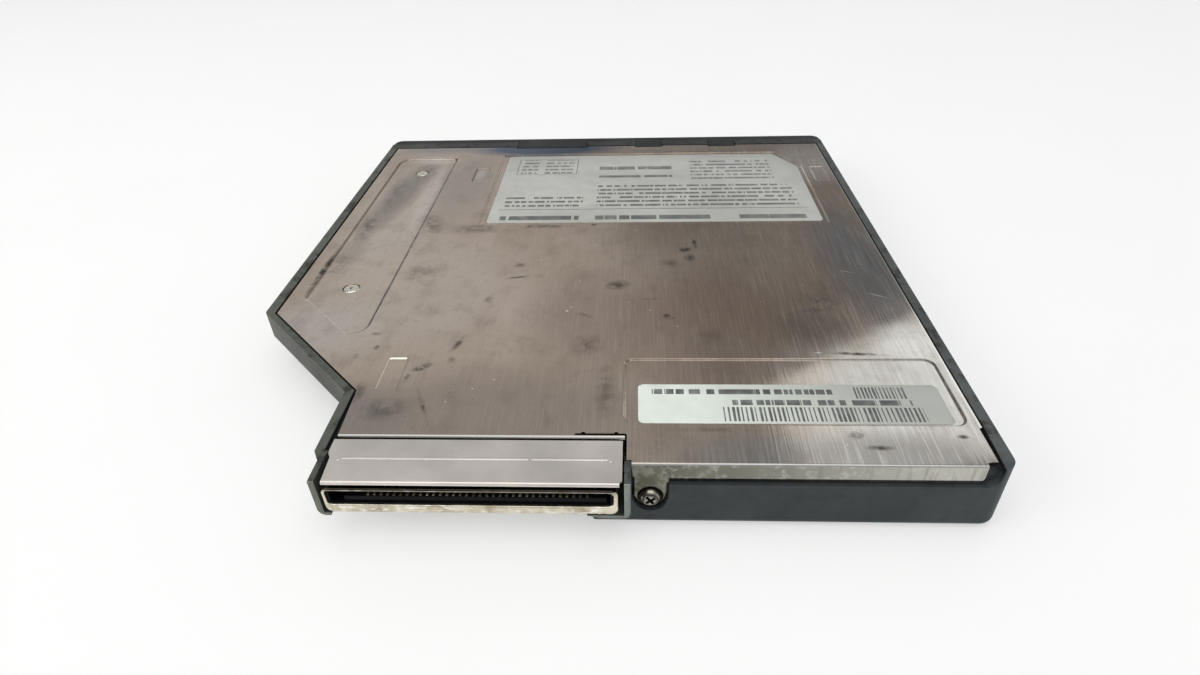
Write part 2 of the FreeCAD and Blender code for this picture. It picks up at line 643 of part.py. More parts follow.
def cover_screws():
    piece = body("cover_screws")
    for name, x, y in COVER_SCREWS:
        flat_screw(piece, name, x, y, recess_top, 1.7, 0.7, 5, upwards=False)
    return piece


def chassis_screws():
    piece = body("chassis_screws")
    for name, x, y in CHASSIS_SCREWS:
        flat_screw(piece, name, x, y, 0.05, 2, 0.9, 1.5, upwards=True)
    return piece


def led_lens():
    piece = body("led_lens")
    block(piece, "lens", (d.lamp_left, front_in + 1, d.lamp_low),
          (d.lamp_right, d.case_d, d.lamp_high))
    return piece


def drive_chassis():
    piece = body("drive_chassis")
    plan = [(d.frame_left, 30), (63.5, 30), (63.5, 9.6), (74, 9.6), (74, 4),
            (d.frame_right, 4), (d.frame_right, 129), (d.frame_left, 129)]
    extrude(piece, "floor", "XY", plan, d.floor_t, frame_top)
    for side in SIDES:
        low_x, high_x = mirrored(side, 0, d.frame_t)
        block(piece, side + "_wall", (low_x, 44, d.floor_t), (high_x, 128, 10.6))
        for end, y in (("back", d.cam_back), ("front", d.cam_front)):
            block(piece, "%s_%s_slot" % (side, end),
                  (low_x - 0.5, y - d.cam_pin_r - 0.15, 5.9),
                  (high_x + 0.5, y + d.cam_pin_r + 0.15, 11), cut=True)
        hook_x, hook_end = mirrored(side, 3.8, 1)
        block(piece, side + "_hook", (hook_x, 113, frame_top), (hook_end, 113.6, 4.4))
    rod(piece, "latch_post", "Z", (d.latch_x, d.latch_y, frame_top), 1.2, 7.7)
    block(piece, "motor_flange", (d.screw_axis_x - 6, 16.6, frame_top),
          (d.screw_axis_x + 6, 17.2, 11.2))
    rod(piece, "motor_flange_hole", "Y", (d.screw_axis_x, 16, d.screw_axis_z), 1.6, 2,
        cut=True)
    for name, x, y in CHASSIS_SCREWS:
        rod(piece, name + "_hole", "Z", (x, y, 0.5), 0.9, 2, cut=True)
    return piece


def cam_slider():
    piece = body("cam_slider")
    thick = 0.5
    slope = d.drop / d.travel
    reach = d.cam_pin_r + 0.3
    for side in SIDES:
        low_x, high_x = mirrored(side, d.slider_left - d.frame_left, thick)
        block(piece, side + "_plate", (low_x, 40, frame_top + 0.15), (high_x, 123, 10.5))
        for end, y in (("back", d.cam_back), ("front", d.cam_front)):
            high_z = d.cam_pin_z + slope * reach
            low_z = d.cam_pin_z - d.drop - slope * reach
            ramp = [(y + reach, high_z + d.cam_half), (y + reach, high_z - d.cam_half),
                    (y - d.travel - reach, low_z - d.cam_half),
                    (y - d.travel - reach, low_z + d.cam_half)]
            extrude(piece, "%s_%s_cam" % (side, end), "YZ", ramp, low_x - 1, high_x + 1,
                    cut=True)
        tab_x, tab_end = mirrored(side, d.slider_left - d.frame_left + thick, 3.5)
        block(piece, side + "_spring_tab", (tab_x, 92.2, 2.2), (tab_end, 92.8, 4.4))
    block(piece, "front_bar", (d.slider_left, 117, 2.5), (d.slider_right, 123, 3.1))
    block(piece, "button_tongue", (36, 123, 2.5), (44, 132.5, 3.1))
    return piece


def eject_button():
    piece = body("eject_button")
    block(piece, "cap", (d.button_left, 130.5, d.button_low),
          (d.button_right, d.case_d, d.button_high))

    def front_edge(edge):
        box = edge.BoundBox
        return near(box.YMin, d.case_d) and near(box.YMax, d.case_d)
    round_edges(piece, "front_round", 0.5, front_edge)
    block(piece, "tongue_slot", (36, 130, 2.5), (44, 132.5, 3.1), cut=True)
    return piece


def disk_holder():
    piece = body("disk_holder")
    top_low = d.holder_high - 0.4
    block(piece, "top", (d.holder_left, d.holder_back, top_low),
          (d.holder_right, d.holder_front, d.holder_high))
    block(piece, "head_window", (d.centre_x - 11, d.holder_back - 1, top_low - 1),
          (d.centre_x + 11, 70, d.holder_high + 1), cut=True)
    rod(piece, "hub_window", "Z", (d.centre_x, d.spindle_y, top_low - 1), 12.5, 3, cut=True)
    for side in SIDES:
        offset = d.holder_left - d.frame_left
        low_x, high_x = mirrored(side, offset, d.holder_t)
        block(piece, side + "_side", (low_x, d.holder_back, d.holder_low),
              (high_x, d.holder_front, d.holder_high))
        low_x, high_x = mirrored(side, offset, 3.7)
        block(piece, side + "_lip", (low_x, d.holder_back, d.holder_low),
              (high_x, d.holder_front, d.holder_low + 0.4))
    return piece


def holder_pins():
    piece = body("holder_pins")
    for side in SIDES:
        low_x, high_x = mirrored(side, 0.1, d.holder_left - d.frame_left - 0.1)
        for end, y in (("back", d.cam_back), ("front", d.cam_front)):
            rod(piece, "%s_%s" % (side, end), "X", (low_x, y, d.cam_pin_z), d.cam_pin_r,
                high_x - low_x)
    return piece


def latch_lever():
    piece = body("latch_lever", (d.latch_x, d.latch_y, 0), LATCH_TURN)
    thick = d.latch_high - d.latch_low
    rod(piece, "hub", "Z", (0, 0, d.latch_low), 2.4, thick)
    block(piece, "arm", (-1.2, 1, d.latch_low), (1.2, d.latch_reach, d.latch_high))
    rod(piece, "tip", "Z", (0, d.latch_reach, d.latch_low), 1.2, thick)
    rod(piece, "bore", "Z", (0, 0, d.latch_low - 1), 1.26, thick + 2, cut=True)
    return piece


def guide_rods():
    piece = body("guide_rods")
    for name, x in (("left", d.rod_left), ("right", d.rod_right)):
        rod(piece, name, "Y", (x, 10, d.rod_z), d.rod_r, 29.8)
    return piece


def rod_clamps():
    piece = body("rod_clamps")
    for side, x in (("left", d.rod_left), ("right", d.rod_right)):
        for end, y, deep in (("rear", 10, 1.2), ("front", 38.3, 1.5)):
            name = "%s_%s" % (side, end)
            block(piece, name, (x - 2, y, frame_top), (x + 2, y + deep, 4.85))
            rod(piece, name + "_hole", "Y", (x, y - 1, d.rod_z), d.rod_r, deep + 2, cut=True)
    return piece


def head_carriage():
    piece = body("head_carriage")
    x = d.centre_x
    block(piece, "frame", (x - 11.5, d.carriage_back, 2.3), (x + 12, d.carriage_front, 9))
    block(piece, "lower_arm", (x - 4, d.carriage_front, 2.7), (x + 4, d.head_y + 2.9, 4.2))
    block(piece, "nut_arm", (x + 12, 19.4, 4.9), (d.screw_axis_x + 2, 21.4, 8.3))
    for name, left in (("left", x - 6.7), ("right", x + 5.2)):
        block(piece, name + "_ear", (left, d.carriage_back, 9),
              (left + 1.5, d.carriage_back + 2.8, 11.3))
    block(piece, "frame_relief", (x - 8, 15.5, 5.6), (x + 8, d.carriage_front - 1.5, 10),
          cut=True)
    rod(piece, "hinge_hole", "X", (x - 8, d.hinge_y, d.hinge_z), 0.5, 16, cut=True)
    for name, rod_x in (("left", d.rod_left), ("right", d.rod_right)):
        rod(piece, name + "_bore", "Y", (rod_x, 10, d.rod_z), d.rod_r + 0.05, 14, cut=True)
    rod(piece, "nut", "Y", (d.screw_axis_x, 18, d.screw_axis_z), d.lead_r + 0.1, 5, cut=True)
    return piece


def arm_pin():
    piece = body("arm_pin")
    rod(piece, "pin", "X", (d.centre_x - 6.9, d.hinge_y, d.hinge_z), 0.5, 13.8)
    return piece


def lower_head():
    piece = body("lower_head")
    x = d.centre_x
    rod(piece, "mount", "Z", (x, d.head_y, 4.2), 2.3, 1.3)
    block(piece, "slider", (x - 1.5, d.head_y - 1.6, 5.5), (x + 1.5, d.head_y + 1.6, 6.93))
    return piece


def upper_head_arm():
    piece = body("upper_head_arm")
    x = d.centre_x
    plate_low = 11.3
    plate_high = 11.7
    plan = [(x - 4.9, 12.2), (x + 4.9, 12.2), (x + 4.9, 30), (x + 3.2, 36),
            (x + 3.2, d.head_y + 2.9), (x - 3.2, d.head_y + 2.9), (x - 3.2, 36),
            (x - 4.9, 30)]
    extrude(piece, "plate", "XY", plan, plate_low, plate_high)
    rod(piece, "knuckle", "X", (x - 4.9, d.hinge_y, d.hinge_z), 0.95, 9.8)
    block(piece, "knuckle_web", (x - 4.9, 12.2, d.hinge_z), (x + 4.9, 13.8, plate_low))
    rod(piece, "bore", "X", (x - 6, d.hinge_y, d.hinge_z), 0.56, 12, cut=True)
    return piece


def upper_head():
    piece = body("upper_head")
    x = d.centre_x
    block(piece, "slider", (x - 1.6, d.head_y - 1.8, 10.85), (x + 1.6, d.head_y + 1.8, 11.3))
    return piece


def stepper_motor():
    piece = body("stepper_motor")
    rod(piece, "can", "Y", (d.screw_axis_x, 5, d.screw_axis_z), 4.7, 11.6)
    rod(piece, "shaft_room", "Y", (d.screw_axis_x, 13.4, d.screw_axis_z), 1.2, 4, cut=True)
    return piece


def lead_screw():
    piece = body("lead_screw", (d.screw_axis_x, 0, d.screw_axis_z))
    rod(piece, "thread", "Y", (0, 13.6, 0), d.lead_r, 22.9)
    rod(piece, "journal", "Y", (0, 36.5, 0), 0.5, 0.8)
    return piece


def screw_bracket():
    piece = body("screw_bracket")
    x = d.screw_axis_x
    block(piece, "foot", (x - 3, 32.5, frame_top), (x + 3, 37.2, frame_top + 0.5))
    block(piece, "upright", (x - 3, 36.6, frame_top), (x + 3, 37.2, 9))
    rod(piece, "journal_hole", "Y", (x, 36, d.screw_axis_z), 0.55, 2, cut=True)
    return piece


def motor_board():
    piece = body("motor_board", (d.centre_x, d.spindle_y, 0))
    plan = [(-22.5, -23), (22.5, -23), (26, -19), (26, 27), (-22.5, 27)]
    extrude(piece, "plate", "XY", plan, frame_top, frame_top + d.board_t)
    rod(piece, "bearing_hole", "Z", (0, 0, 1), 2.6, 2, cut=True)
    return piece


def spindle_bearing():
    piece = body("spindle_bearing", (d.centre_x, d.spindle_y, 0))
    rod(piece, "bush", "Z", (0, 0, frame_top), 2.6, 2.6)
    rod(piece, "bore", "Z", (0, 0, 1), d.shaft_r + 0.04, 4, cut=True)
    return piece


def stator_core():
    piece = body("stator_core", (d.centre_x, d.spindle_y, 0))
    rod(piece, "ring", "Z", (0, 0, 2.9), 7, 0.8)
    rod(piece, "ring_bore", "Z", (0, 0, 2), 2.6, 3, cut=True)
    tooth = block(piece, "tooth", (6.5, -0.8, 2.9), (16, 0.8, 3.7))
    polar(piece, tooth, TEETH)
    shoe = block(piece, "shoe", (16, -2.4, 2.9), (17.8, 2.4, 3.7))
    polar(piece, shoe, TEETH)
    return piece


def stator_coils():
    piece = body("stator_coils", (d.centre_x, d.spindle_y, 0))
    coil = block(piece, "coil", (8.4, -1.55, 2.5), (15.4, 1.55, 4.1))
    polar(piece, coil, TEETH)
    core = block(piece, "core", (7.5, -0.8, 2.9), (16, 0.8, 3.7), cut=True)
    polar(piece, core, TEETH)
    return piece


def ring(label, profile):
    """A turned piece: the profile's points are radius and height from the spindle axis."""
    piece = body(label, (d.centre_x, d.spindle_y, 0))
    sketch = outline(piece, "section", "XZ", profile, 0)
    turned = piece.newObject("PartDesign::Revolution", "turned")
    turned.Profile = sketch
    turned.ReferenceAxis = (sketch, ["V_Axis"])
    turned.Angle = 360
    return piece


def spindle_pieces():
    cup_low = d.rotor_top - 0.5
    ring("rotor_cup", [
        (d.shaft_r, cup_low), (d.rotor_r - 0.6, cup_low), (d.rotor_r - 0.6, 2.8),
        (d.rotor_r, 2.8), (d.rotor_r, d.rotor_top), (d.shaft_r, d.rotor_top)])
    ring("rotor_magnet", [
        (d.rotor_r - 2, 2.9), (d.rotor_r - 0.6, 2.9), (d.rotor_r - 0.6, cup_low),
        (d.rotor_r - 2, cup_low)])
    chuck_top = d.rotor_top + 0.35
    ring("chuck_plate", [
        (d.shaft_r, d.rotor_top), (d.chuck_r, d.rotor_top), (d.chuck_r, chuck_top),
        (d.shaft_r, chuck_top)])
    ring("spindle_shaft", [
        (0, 1.7), (d.shaft_r, 1.7), (d.shaft_r, 5.8), (d.shaft_r - 0.4, 6.1), (0, 6.1)])
    roller = body("drive_roller", (d.centre_x, d.spindle_y, 0))
    rod(roller, "roller", "Z", (9.3, 0, chuck_top), 0.9, 0.75)


def insulating_sheet():
    piece = body("insulating_sheet")
    block(piece, "film", (35.5, 43.5, frame_top), (53.5, 112.5, frame_top + 0.15))
    return piece


def controller_board():
    piece = body("controller_board")
    block(piece, "board", (36, 44, frame_top + 0.15), (53, 112, frame_top + 0.95))
    return piece


def ribbon_cable():
    piece = body("ribbon_cable")
    low = frame_top + 0.95
    profile = [(23, 3.2), (28, 3.2), (44.5, low), (49, low), (49, low + 0.2),
               (44.5, low + 0.2), (28, 3.4), (23, 3.4)]
    extrude(piece, "ribbon", "YZ", profile, 38, 48)
    return piece


housing_tray()
top_cover()
connector_shield()
front_bezel()
label_plate("main_label", [(37.6, 81), (118.5, 81), (118.5, 114.5), (113, 124.2),
                           (37.6, 124.2)], (0, 1, 4))
label_plate("serial_label", [(74.1, 9.9), (123.6, 9.9), (123.6, 19.6), (74.1, 19.6)],
            (0, 1, 2, 3))
rear_screw()
cover_screws()
chassis_screws()
led_lens()
connector_shell()
connector_body()
contact_pins()
connector_board()
chips("connector_chips", 3.2, [(52, 12, 7, 7, 1.1), (53, 21.5, 5, 4, 0.9)])
drive_chassis()
insulating_sheet()
controller_board()
chips("controller_chips", 2.55, [(38, 56, 10, 10, 1.3), (39, 76, 7, 5, 1.1),
                                 (38, 92, 9, 9, 1.2)])
ribbon_cable()
motor_board()
chips("motor_driver_chip", 2.4, [(92, 107, 7, 4.5, 1.1)])
spindle_bearing()
stator_core()
stator_coils()
spindle_pieces()
guide_rods()
rod_clamps()
stepper_motor()
screw_bracket()
lead_screw()
head_carriage()
lower_head()
arm_pin()
upper_head_arm()
upper_head()
cam_slider()
eject_button()
disk_holder()
holder_pins()
latch_lever()
slot_door()
pieces.append(coil_spring("door_spring", (d.inner_left + 0.1, d.door_y, d.door_z), "X",
                          0.4, 0.07, 0.25, 1.5))
pieces.append(coil_spring("latch_spring", (d.latch_x, d.latch_y, 4.4), "Z", 1.6, 0.2,
                          0.9, 2.7))
springs = []
for side in SIDES:
    start_x, end_x = mirrored(side, 3.8, 1)
    at = ((start_x + end_x) / 2, 93.1, 3.3)
    springs.append(coil_spring(side + "_slider_spring", at, "Y", 0.9, 0.16, 1.1, 19.6))
pair = doc.addObject("Part::Compound", "slider_springs")
pair.Label = "slider_springs"
pair.Links = springs
pieces.append(pair)

doc.recompute()
for thing in doc.Objects:
    faults = [word for word in thing.State if word in ("Invalid", "Error")]
    if faults:
        raise RuntimeError("%s is not built: %s" % (thing.Name, faults))
for piece in pieces:
    if piece.Shape.isNull() or not piece.Shape.isValid():
        raise RuntimeError("%s has no valid shape" % piece.Label)
os.makedirs("parts", exist_ok=True)
for piece in pieces:
    piece.Shape.exportStep("parts/%s.step" % piece.Label)
    print("%-18s %3d solids %9.2f mm3" % (piece.Label, len(piece.Shape.Solids),
                                          piece.Shape.Volume))
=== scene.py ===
import bmesh
import bpy
import json
import math
from mathutils import Matrix, Vector
from mathutils.geometry import delaunay_2d_cdt


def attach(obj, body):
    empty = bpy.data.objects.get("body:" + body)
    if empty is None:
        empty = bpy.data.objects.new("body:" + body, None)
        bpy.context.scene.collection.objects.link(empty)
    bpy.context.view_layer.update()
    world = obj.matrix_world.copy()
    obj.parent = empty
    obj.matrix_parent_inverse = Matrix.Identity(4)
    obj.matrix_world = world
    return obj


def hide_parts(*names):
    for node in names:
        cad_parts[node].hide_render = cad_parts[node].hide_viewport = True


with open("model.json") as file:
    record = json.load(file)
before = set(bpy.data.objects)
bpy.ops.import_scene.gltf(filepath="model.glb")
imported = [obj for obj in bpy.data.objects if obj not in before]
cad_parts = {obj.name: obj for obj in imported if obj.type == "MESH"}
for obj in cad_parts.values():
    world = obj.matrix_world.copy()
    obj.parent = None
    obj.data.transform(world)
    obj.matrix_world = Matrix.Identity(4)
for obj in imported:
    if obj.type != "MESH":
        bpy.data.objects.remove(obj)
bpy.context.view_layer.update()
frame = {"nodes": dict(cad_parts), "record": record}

# Every size below is in millimetres from the case's rear left corner, as on a drawing:
# x along the rear wall, y towards the front bezel, z up. at() turns it into the frame's metres.
MM = 0.001
MID_X = 64.5
MID_Y = 67.25
COVER_TOP = 12.6
SHEET_T = 0.45
SHIELD_T = 0.4
PRESS = 0.3
RECESS_TOP = COVER_TOP - PRESS
LEDGE_TOP = 12.1
PAPER_T = 0.08
SCREW_X = 75.9
SCREW_Z = 5.75
SCREW_DISH_R = 1.98
SPINDLE = (77, 85.6)


def at(x, y, z):
    return Vector(((x - MID_X) * MM, (y - MID_Y) * MM, z * MM))


# ---------------------------------------------------------------- node trees

class Pattern:
    """A number or colour that varies over a surface; arithmetic on it adds nodes."""

    def __init__(self, wiring, socket):
        self.wiring = wiring
        self.socket = socket

    def math(self, kind, *numbers):
        return self.wiring.pattern("Math", (self, *numbers), operation=kind)

    def __add__(self, other):
        return self.math("ADD", other)

    def __sub__(self, other):
        return self.math("SUBTRACT", other)

    def __mul__(self, other):
        return self.math("MULTIPLY", other)

    def __truediv__(self, other):
        return self.math("DIVIDE", other)

    def __gt__(self, other):
        return self.math("GREATER_THAN", other)

    def __lt__(self, other):
        return self.math("LESS_THAN", other)

    def within(self, low, high):
        """1 where the number lies between two others, else 0."""
        return (self > low) * (self < high)

    def level(self, low, high, start=0.0, end=1.0, **settings):
        """Runs from start to end as the number runs from low to high."""
        return self.wiring.pattern("MapRange", (self, low, high, start, end), **settings)

    def under(self, *layers, kind="MIX"):
        """This colour with layers of (share, colour) laid over it in turn."""
        tone = self
        for share, colour in layers:
            tone = self.wiring.mix(share, tone, colour, kind)
        return tone


def strongest(patterns):
    """The largest of several patterns at each point."""
    found, *others = patterns
    for other in others:
        found = found.math("MAXIMUM", other)
    return found


class Wiring:
    """Adds nodes to a node tree."""

    def __init__(self, tree):
        self.tree = tree

    def feed(self, socket, value):
        if isinstance(value, Pattern):
            value = value.socket
        if isinstance(value, bpy.types.Node):
            value = value.outputs[0]
        if isinstance(value, bpy.types.NodeSocket):
            self.tree.links.new(value, socket)
        elif socket.type == "RGBA":
            socket.default_value = (*value, 1)
        else:
            socket.default_value = value

    def node(self, kind, inputs=(), family="Shader", **settings):
        """A new node with its sockets fed, by their names or in order."""
        made = self.tree.nodes.new(family + "Node" + kind)
        for name, setting in settings.items():
            setattr(made, name, setting)
        pairs = inputs.items() if isinstance(inputs, dict) else enumerate(inputs)
        for socket, value in pairs:
            self.feed(made.inputs[socket], value)
        return made

    def pattern(self, kind, inputs=(), output=0, **settings):
        return Pattern(self, self.node(kind, inputs, **settings).outputs[output])

    def vector(self, kind, first, second):
        return self.node("VectorMath", (first, second), operation=kind)

    def length(self, vector):
        return self.pattern("VectorMath", (vector,), "Value", operation="LENGTH")

    def mix(self, share, first, second, kind="MIX"):
        colours = {0: share, 6: first, 7: second}
        return self.pattern("Mix", colours, 2, data_type="RGBA", blend_type=kind)


class Finish(Wiring):
    """A material whose colour, roughness and relief come from patterns in the piece's own space."""

    def __init__(self, name, colour, roughness, metallic=0.0, **fixed):
        self.material = bpy.data.materials.new(name)
        self.material.use_nodes = True
        super().__init__(self.material.node_tree)
        self.space = self.tree.nodes.new("ShaderNodeTexCoord").outputs["Object"]
        self.shader = self.tree.nodes["Principled BSDF"]
        self.surface(Base_Color=colour, Roughness=roughness, Metallic=metallic, **fixed)

    def surface(self, **values):
        for name, value in values.items():
            self.feed(self.shader.inputs[name.replace("_", " ")], value)

    def coated(self, colour, roughness, height, depth):
        """The finished material; it rises by depth millimetres where the height is 1."""
        bump = self.node("Bump", {"Distance": depth * MM, "Height": height})
        self.surface(Base_Color=colour, Roughness=roughness, Normal=bump)
        return self.material

    def mapped(self, size, stretch=(1, 1, 1), turn=0.0, shift=(0, 0, 0)):
        """Object space divided by a grain size in millimetres, longer along each stretched axis;
        a shift moves to another part of the pattern."""
        turned = self.node("Mapping", {"Vector": self.space,
                                       "Rotation": (0, 0, math.radians(turn))})
        scale = [1 / (size * MM * part) for part in stretch]
        return self.node("Mapping", {"Vector": turned, "Location": shift, "Scale": scale})

    def grain(self, size, detail, stretch=(1, 1, 1), turn=0.0, shift=(0, 0, 0), rough=0.5):
        place = self.mapped(size, stretch, turn, shift)
        return self.pattern("TexNoise", {"Vector": place, "Scale": 1, "Detail": detail,
                                         "Roughness": rough})

    def dots(self, size, reach, shift):
        """Scattered round dots: 1 at each dot's middle, 0 from reach of the way to the next."""
        cells = {"Vector": self.mapped(size, shift=shift), "Scale": 1}
        return self.pattern("TexVoronoi", cells, "Distance").level(0, reach, 1, 0)

    def axes(self):
        """The piece's own x, y and z in drawing millimetres."""
        parts = self.node("SeparateXYZ", (self.space,)).outputs
        x, y, z = (Pattern(self, part) for part in parts)
        return (x.math("MULTIPLY_ADD", 1 / MM, MID_X), y.math("MULTIPLY_ADD", 1 / MM, MID_Y),
                z * (1 / MM))

    def smudge(self, x, y, across, along, turn=0.0):
        """A soft-edged oval at a point of the drawing, 1 in its middle."""
        moved = self.vector("SUBTRACT", self.space, at(x, y, 0))
        turned = self.node("VectorRotate", {"Vector": moved, "Angle": math.radians(-turn)},
                           rotation_type="Z_AXIS")
        sized = self.vector("MULTIPLY", turned, (1 / (across * MM), 1 / (along * MM), 0))
        return self.length(sized).level(0.15, 1, 1, 0)

    def marked(self):
        """How much dirt and painted shade a piece holds in its grooves, gaps and screw crosses;
        painted highlights are below 0, and the cover's bends hold the fold mark.
        """
        return self.pattern("Attribute", output="Fac", attribute_name="groove")


# ---------------------------------------------------------------- finishes

def shade(colour, factor):
    return tuple(min(1.0, part * factor) for part in colour)


def case_tones(finish, tone):
    """Olive and smeared on the left, dark in front, pale on the right rim; painted shade, darker
    and cooler, on the rear wall; painted light on the near end faces, the right cheek and the tops
    on the left; the ledge under the cover painted black as shade.
    """
    x, y, z = finish.axes()
    smears = finish.grain(3.4, 4, shift=(2, 7, 2), rough=0.62)
    top = z.level(12.5, 12.6)
    left = x.level(50, 25, 0, 0.9)
    # the rear wall painted darker and cooler, as shade
    shaded_rear_wall = y.level(2, 1) * x.level(72.6, 72.8)
    # the near end faces and the right cheek painted lighter, as lit
    lit_plug_ends = y.level(-3.3, -3.4, 0, 0.9)
    lit_right_cheek = x.within(71.9, 73) * y.level(1, -1, 0, 0.4)
    tone = tone.under(
        (left, (1.22, 1.18, 1.02)), (shaded_rear_wall, (0.66, 0.74, 0.8)),
        (lit_plug_ends, (3.4, 3.4, 3.2)), (lit_right_cheek, (2.4, 2.4, 2.35)),
        # darker tops in front; the tops on the left painted lighter, as lit
        (top * y.level(130, 131), (0.42, 0.42, 0.42)), (top * x.level(30, 28), (1.45, 1.45, 1.4)),
        (top * x.level(126.9, 127.1), (1.5, 1.52, 1.56)),
        (top * smears.level(0.54, 0.64, 0, 0.9), (0.22, 0.22, 0.21)), kind="MULTIPLY")
    # the ledge under the cover's edge painted near black, as shade in the gap
    return tone.under((finish.marked(), (0.002, 0.002, 0.002)))


def moulded(name, colour, shine=0.3, placed=None):
    """Moulded plastic: spark-eroded grain, clouds and smears of handling, a little pale dust."""
    finish = Finish(name, colour, 0.5, Specular_IOR_Level=shine)
    clouds = finish.grain(14, 4, shift=(3, 1, 2))
    smears = finish.grain(2.6, 5, shift=(7, 7, 2), rough=0.62)
    dust = finish.grain(0.9, 3, shift=(9, 4, 7))
    tone = finish.mix(clouds.level(0.35, 0.7), shade(colour, 0.84), shade(colour, 1.2)).under(
        (smears.level(0.5, 0.68, 0, 0.5), shade(colour, 0.5)),
        (dust.level(0.66, 0.74, 0, 0.1), shade(colour, 3.2)))
    if placed:
        tone = placed(finish, tone)
    return finish.coated(tone, clouds.level(0.3, 0.75, 0.58, 0.42), finish.grain(0.22, 2), 0.012)


def worn_edge(name, colour, bare, placed=None):
    """The same plastic where handling has rubbed its edges paler, in patches."""
    finish = Finish(name, colour, 0.42, Specular_IOR_Level=0.3)
    patches = finish.grain(5, 5, shift=(2, 8, 5), rough=0.65)
    nicks = finish.grain(0.7, 2, shift=(5, 5, 1))
    rubbed = patches.level(0.42, 0.62) * nicks.level(0.3, 0.6, 0.45, 1)
    tone = finish.mix(rubbed, shade(colour, 1.35), bare)
    if placed:
        tone = placed(finish, tone)
    return finish.coated(tone, patches.level(0.3, 0.7, 0.52, 0.32), nicks, 0.02)


def turned_metal(name, colour, roughness, grain, stretch=(1, 1, 1), stain=0.25):
    """Plain machined, plated or stamped metal with fine marks and slightly dull patches."""
    finish = Finish(name, colour, roughness, 1.0)
    fine = finish.grain(grain, 3, stretch)
    dull = finish.grain(4, 4, shift=(7, 3, 1))
    tone = finish.mix(dull.level(0.4, 0.7, 0, stain), colour, shade(colour, 0.62)).under(
        (fine.level(0.3, 0.7, 0, 0.16), shade(colour, 0.8)),
        # near black where a piece is marked, as in the screws' crosses: painted shade
        (finish.marked(), (0.012, 0.011, 0.01)))
    polish = dull.level(0.3, 0.7, roughness * 0.8, roughness * 1.35)
    return finish.coated(tone, polish, fine, 0.004)


def smooth_part(name, colour, roughness, grain, *fixed):
    """Small moulded, ceramic or coated parts: an even colour with fine grain and faint clouds."""
    finish = Finish(name, colour, roughness, **dict(fixed))
    fine = finish.grain(grain, 3)
    clouds = finish.grain(6, 3, shift=(1, 6, 2))
    tone = finish.mix(clouds.level(0.35, 0.65), shade(colour, 0.9), shade(colour, 1.08))
    tone = tone.under((fine.level(0.35, 0.65, 0, 0.12), shade(colour, 0.75)))
    polish = clouds.level(0.3, 0.7, roughness * 0.85, roughness * 1.15)
    return finish.coated(tone, polish, fine, 0.006)


COVER_STEEL = (0.5, 0.405, 0.33)
# what a groove holds where it marks a fold at the cover's rear, which is painted a grey reflection
# instead of dirt
FOLD_MARK = 0.12
COVER_TONES_AND_REFLECTIONS = [
    # x, y, half width, half length, turn, colour, share: where the sheet has aged differently, and
    # painted reflections: the pale neutral patches near the right and the dark cool band along the
    # right edge
    (30, 48, 30, 32, -12, (0.6, 0.515, 0.435), 0.75),
    (12, 36, 16, 16, 0, (0.6, 0.55, 0.5), 0.65),
    (15, 88, 12, 46, 0, (0.6, 0.525, 0.455), 0.75),
    (12.2, 98, 5.6, 27, -6.7, (0.3, 0.258, 0.222), 0.92),
    (9, 67, 4, 8, 0, (0.4, 0.345, 0.3), 0.7),
    (28, 104, 11, 26, 0, (0.36, 0.315, 0.28), 0.7),
    (16, 130, 15, 4, 0, (0.29, 0.28, 0.268), 0.85),
    (66, 40, 17, 22, 10, (0.36, 0.28, 0.23), 0.8),
    (50, 12, 36, 15, 0, (0.35, 0.29, 0.245), 0.85),
    (29, 11, 13, 9, -20, (0.3, 0.265, 0.24), 0.8),
    (90, 44, 22, 20, 24, (0.405, 0.29, 0.227), 0.75),
    (84, 24, 12, 12, 0, (0.38, 0.285, 0.23), 0.6),
    (104, 68, 14, 22, -10, (0.52, 0.425, 0.35), 0.7),
    (121.5, 60, 10, 34, 4, (0.285, 0.294, 0.307), 0.9),
    (120, 16, 27, 24, 0, (0.49, 0.49, 0.465), 0.95),
    (104, 2, 32, 8, 0, (0.31, 0.305, 0.295), 0.9),
    (114, 2.5, 15, 6, 0, (0.24, 0.235, 0.225), 0.85),
    (123, 31, 9, 8, 0, (0.62, 0.62, 0.6), 0.8),
    (107, 36, 9, 7, 20, (0.26, 0.215, 0.18), 0.7),
    (120, 116, 13, 16, 0, (0.72, 0.655, 0.6), 0.9),
    (90, 129, 26, 5.5, 0, (0.62, 0.53, 0.455), 0.75),
    (16, 121.5, 8, 3.5, 0, (0.68, 0.61, 0.54), 0.8),
    (19.6, 96, 2.6, 26, 0, (0.66, 0.59, 0.52), 0.8),
    (31.3, 110.4, 2.2, 5.4, 0, (0.6, 0.53, 0.47), 0.7),
    (123.4, 109.1, 2, 5.4, 0, (0.6, 0.54, 0.49), 0.4),
]
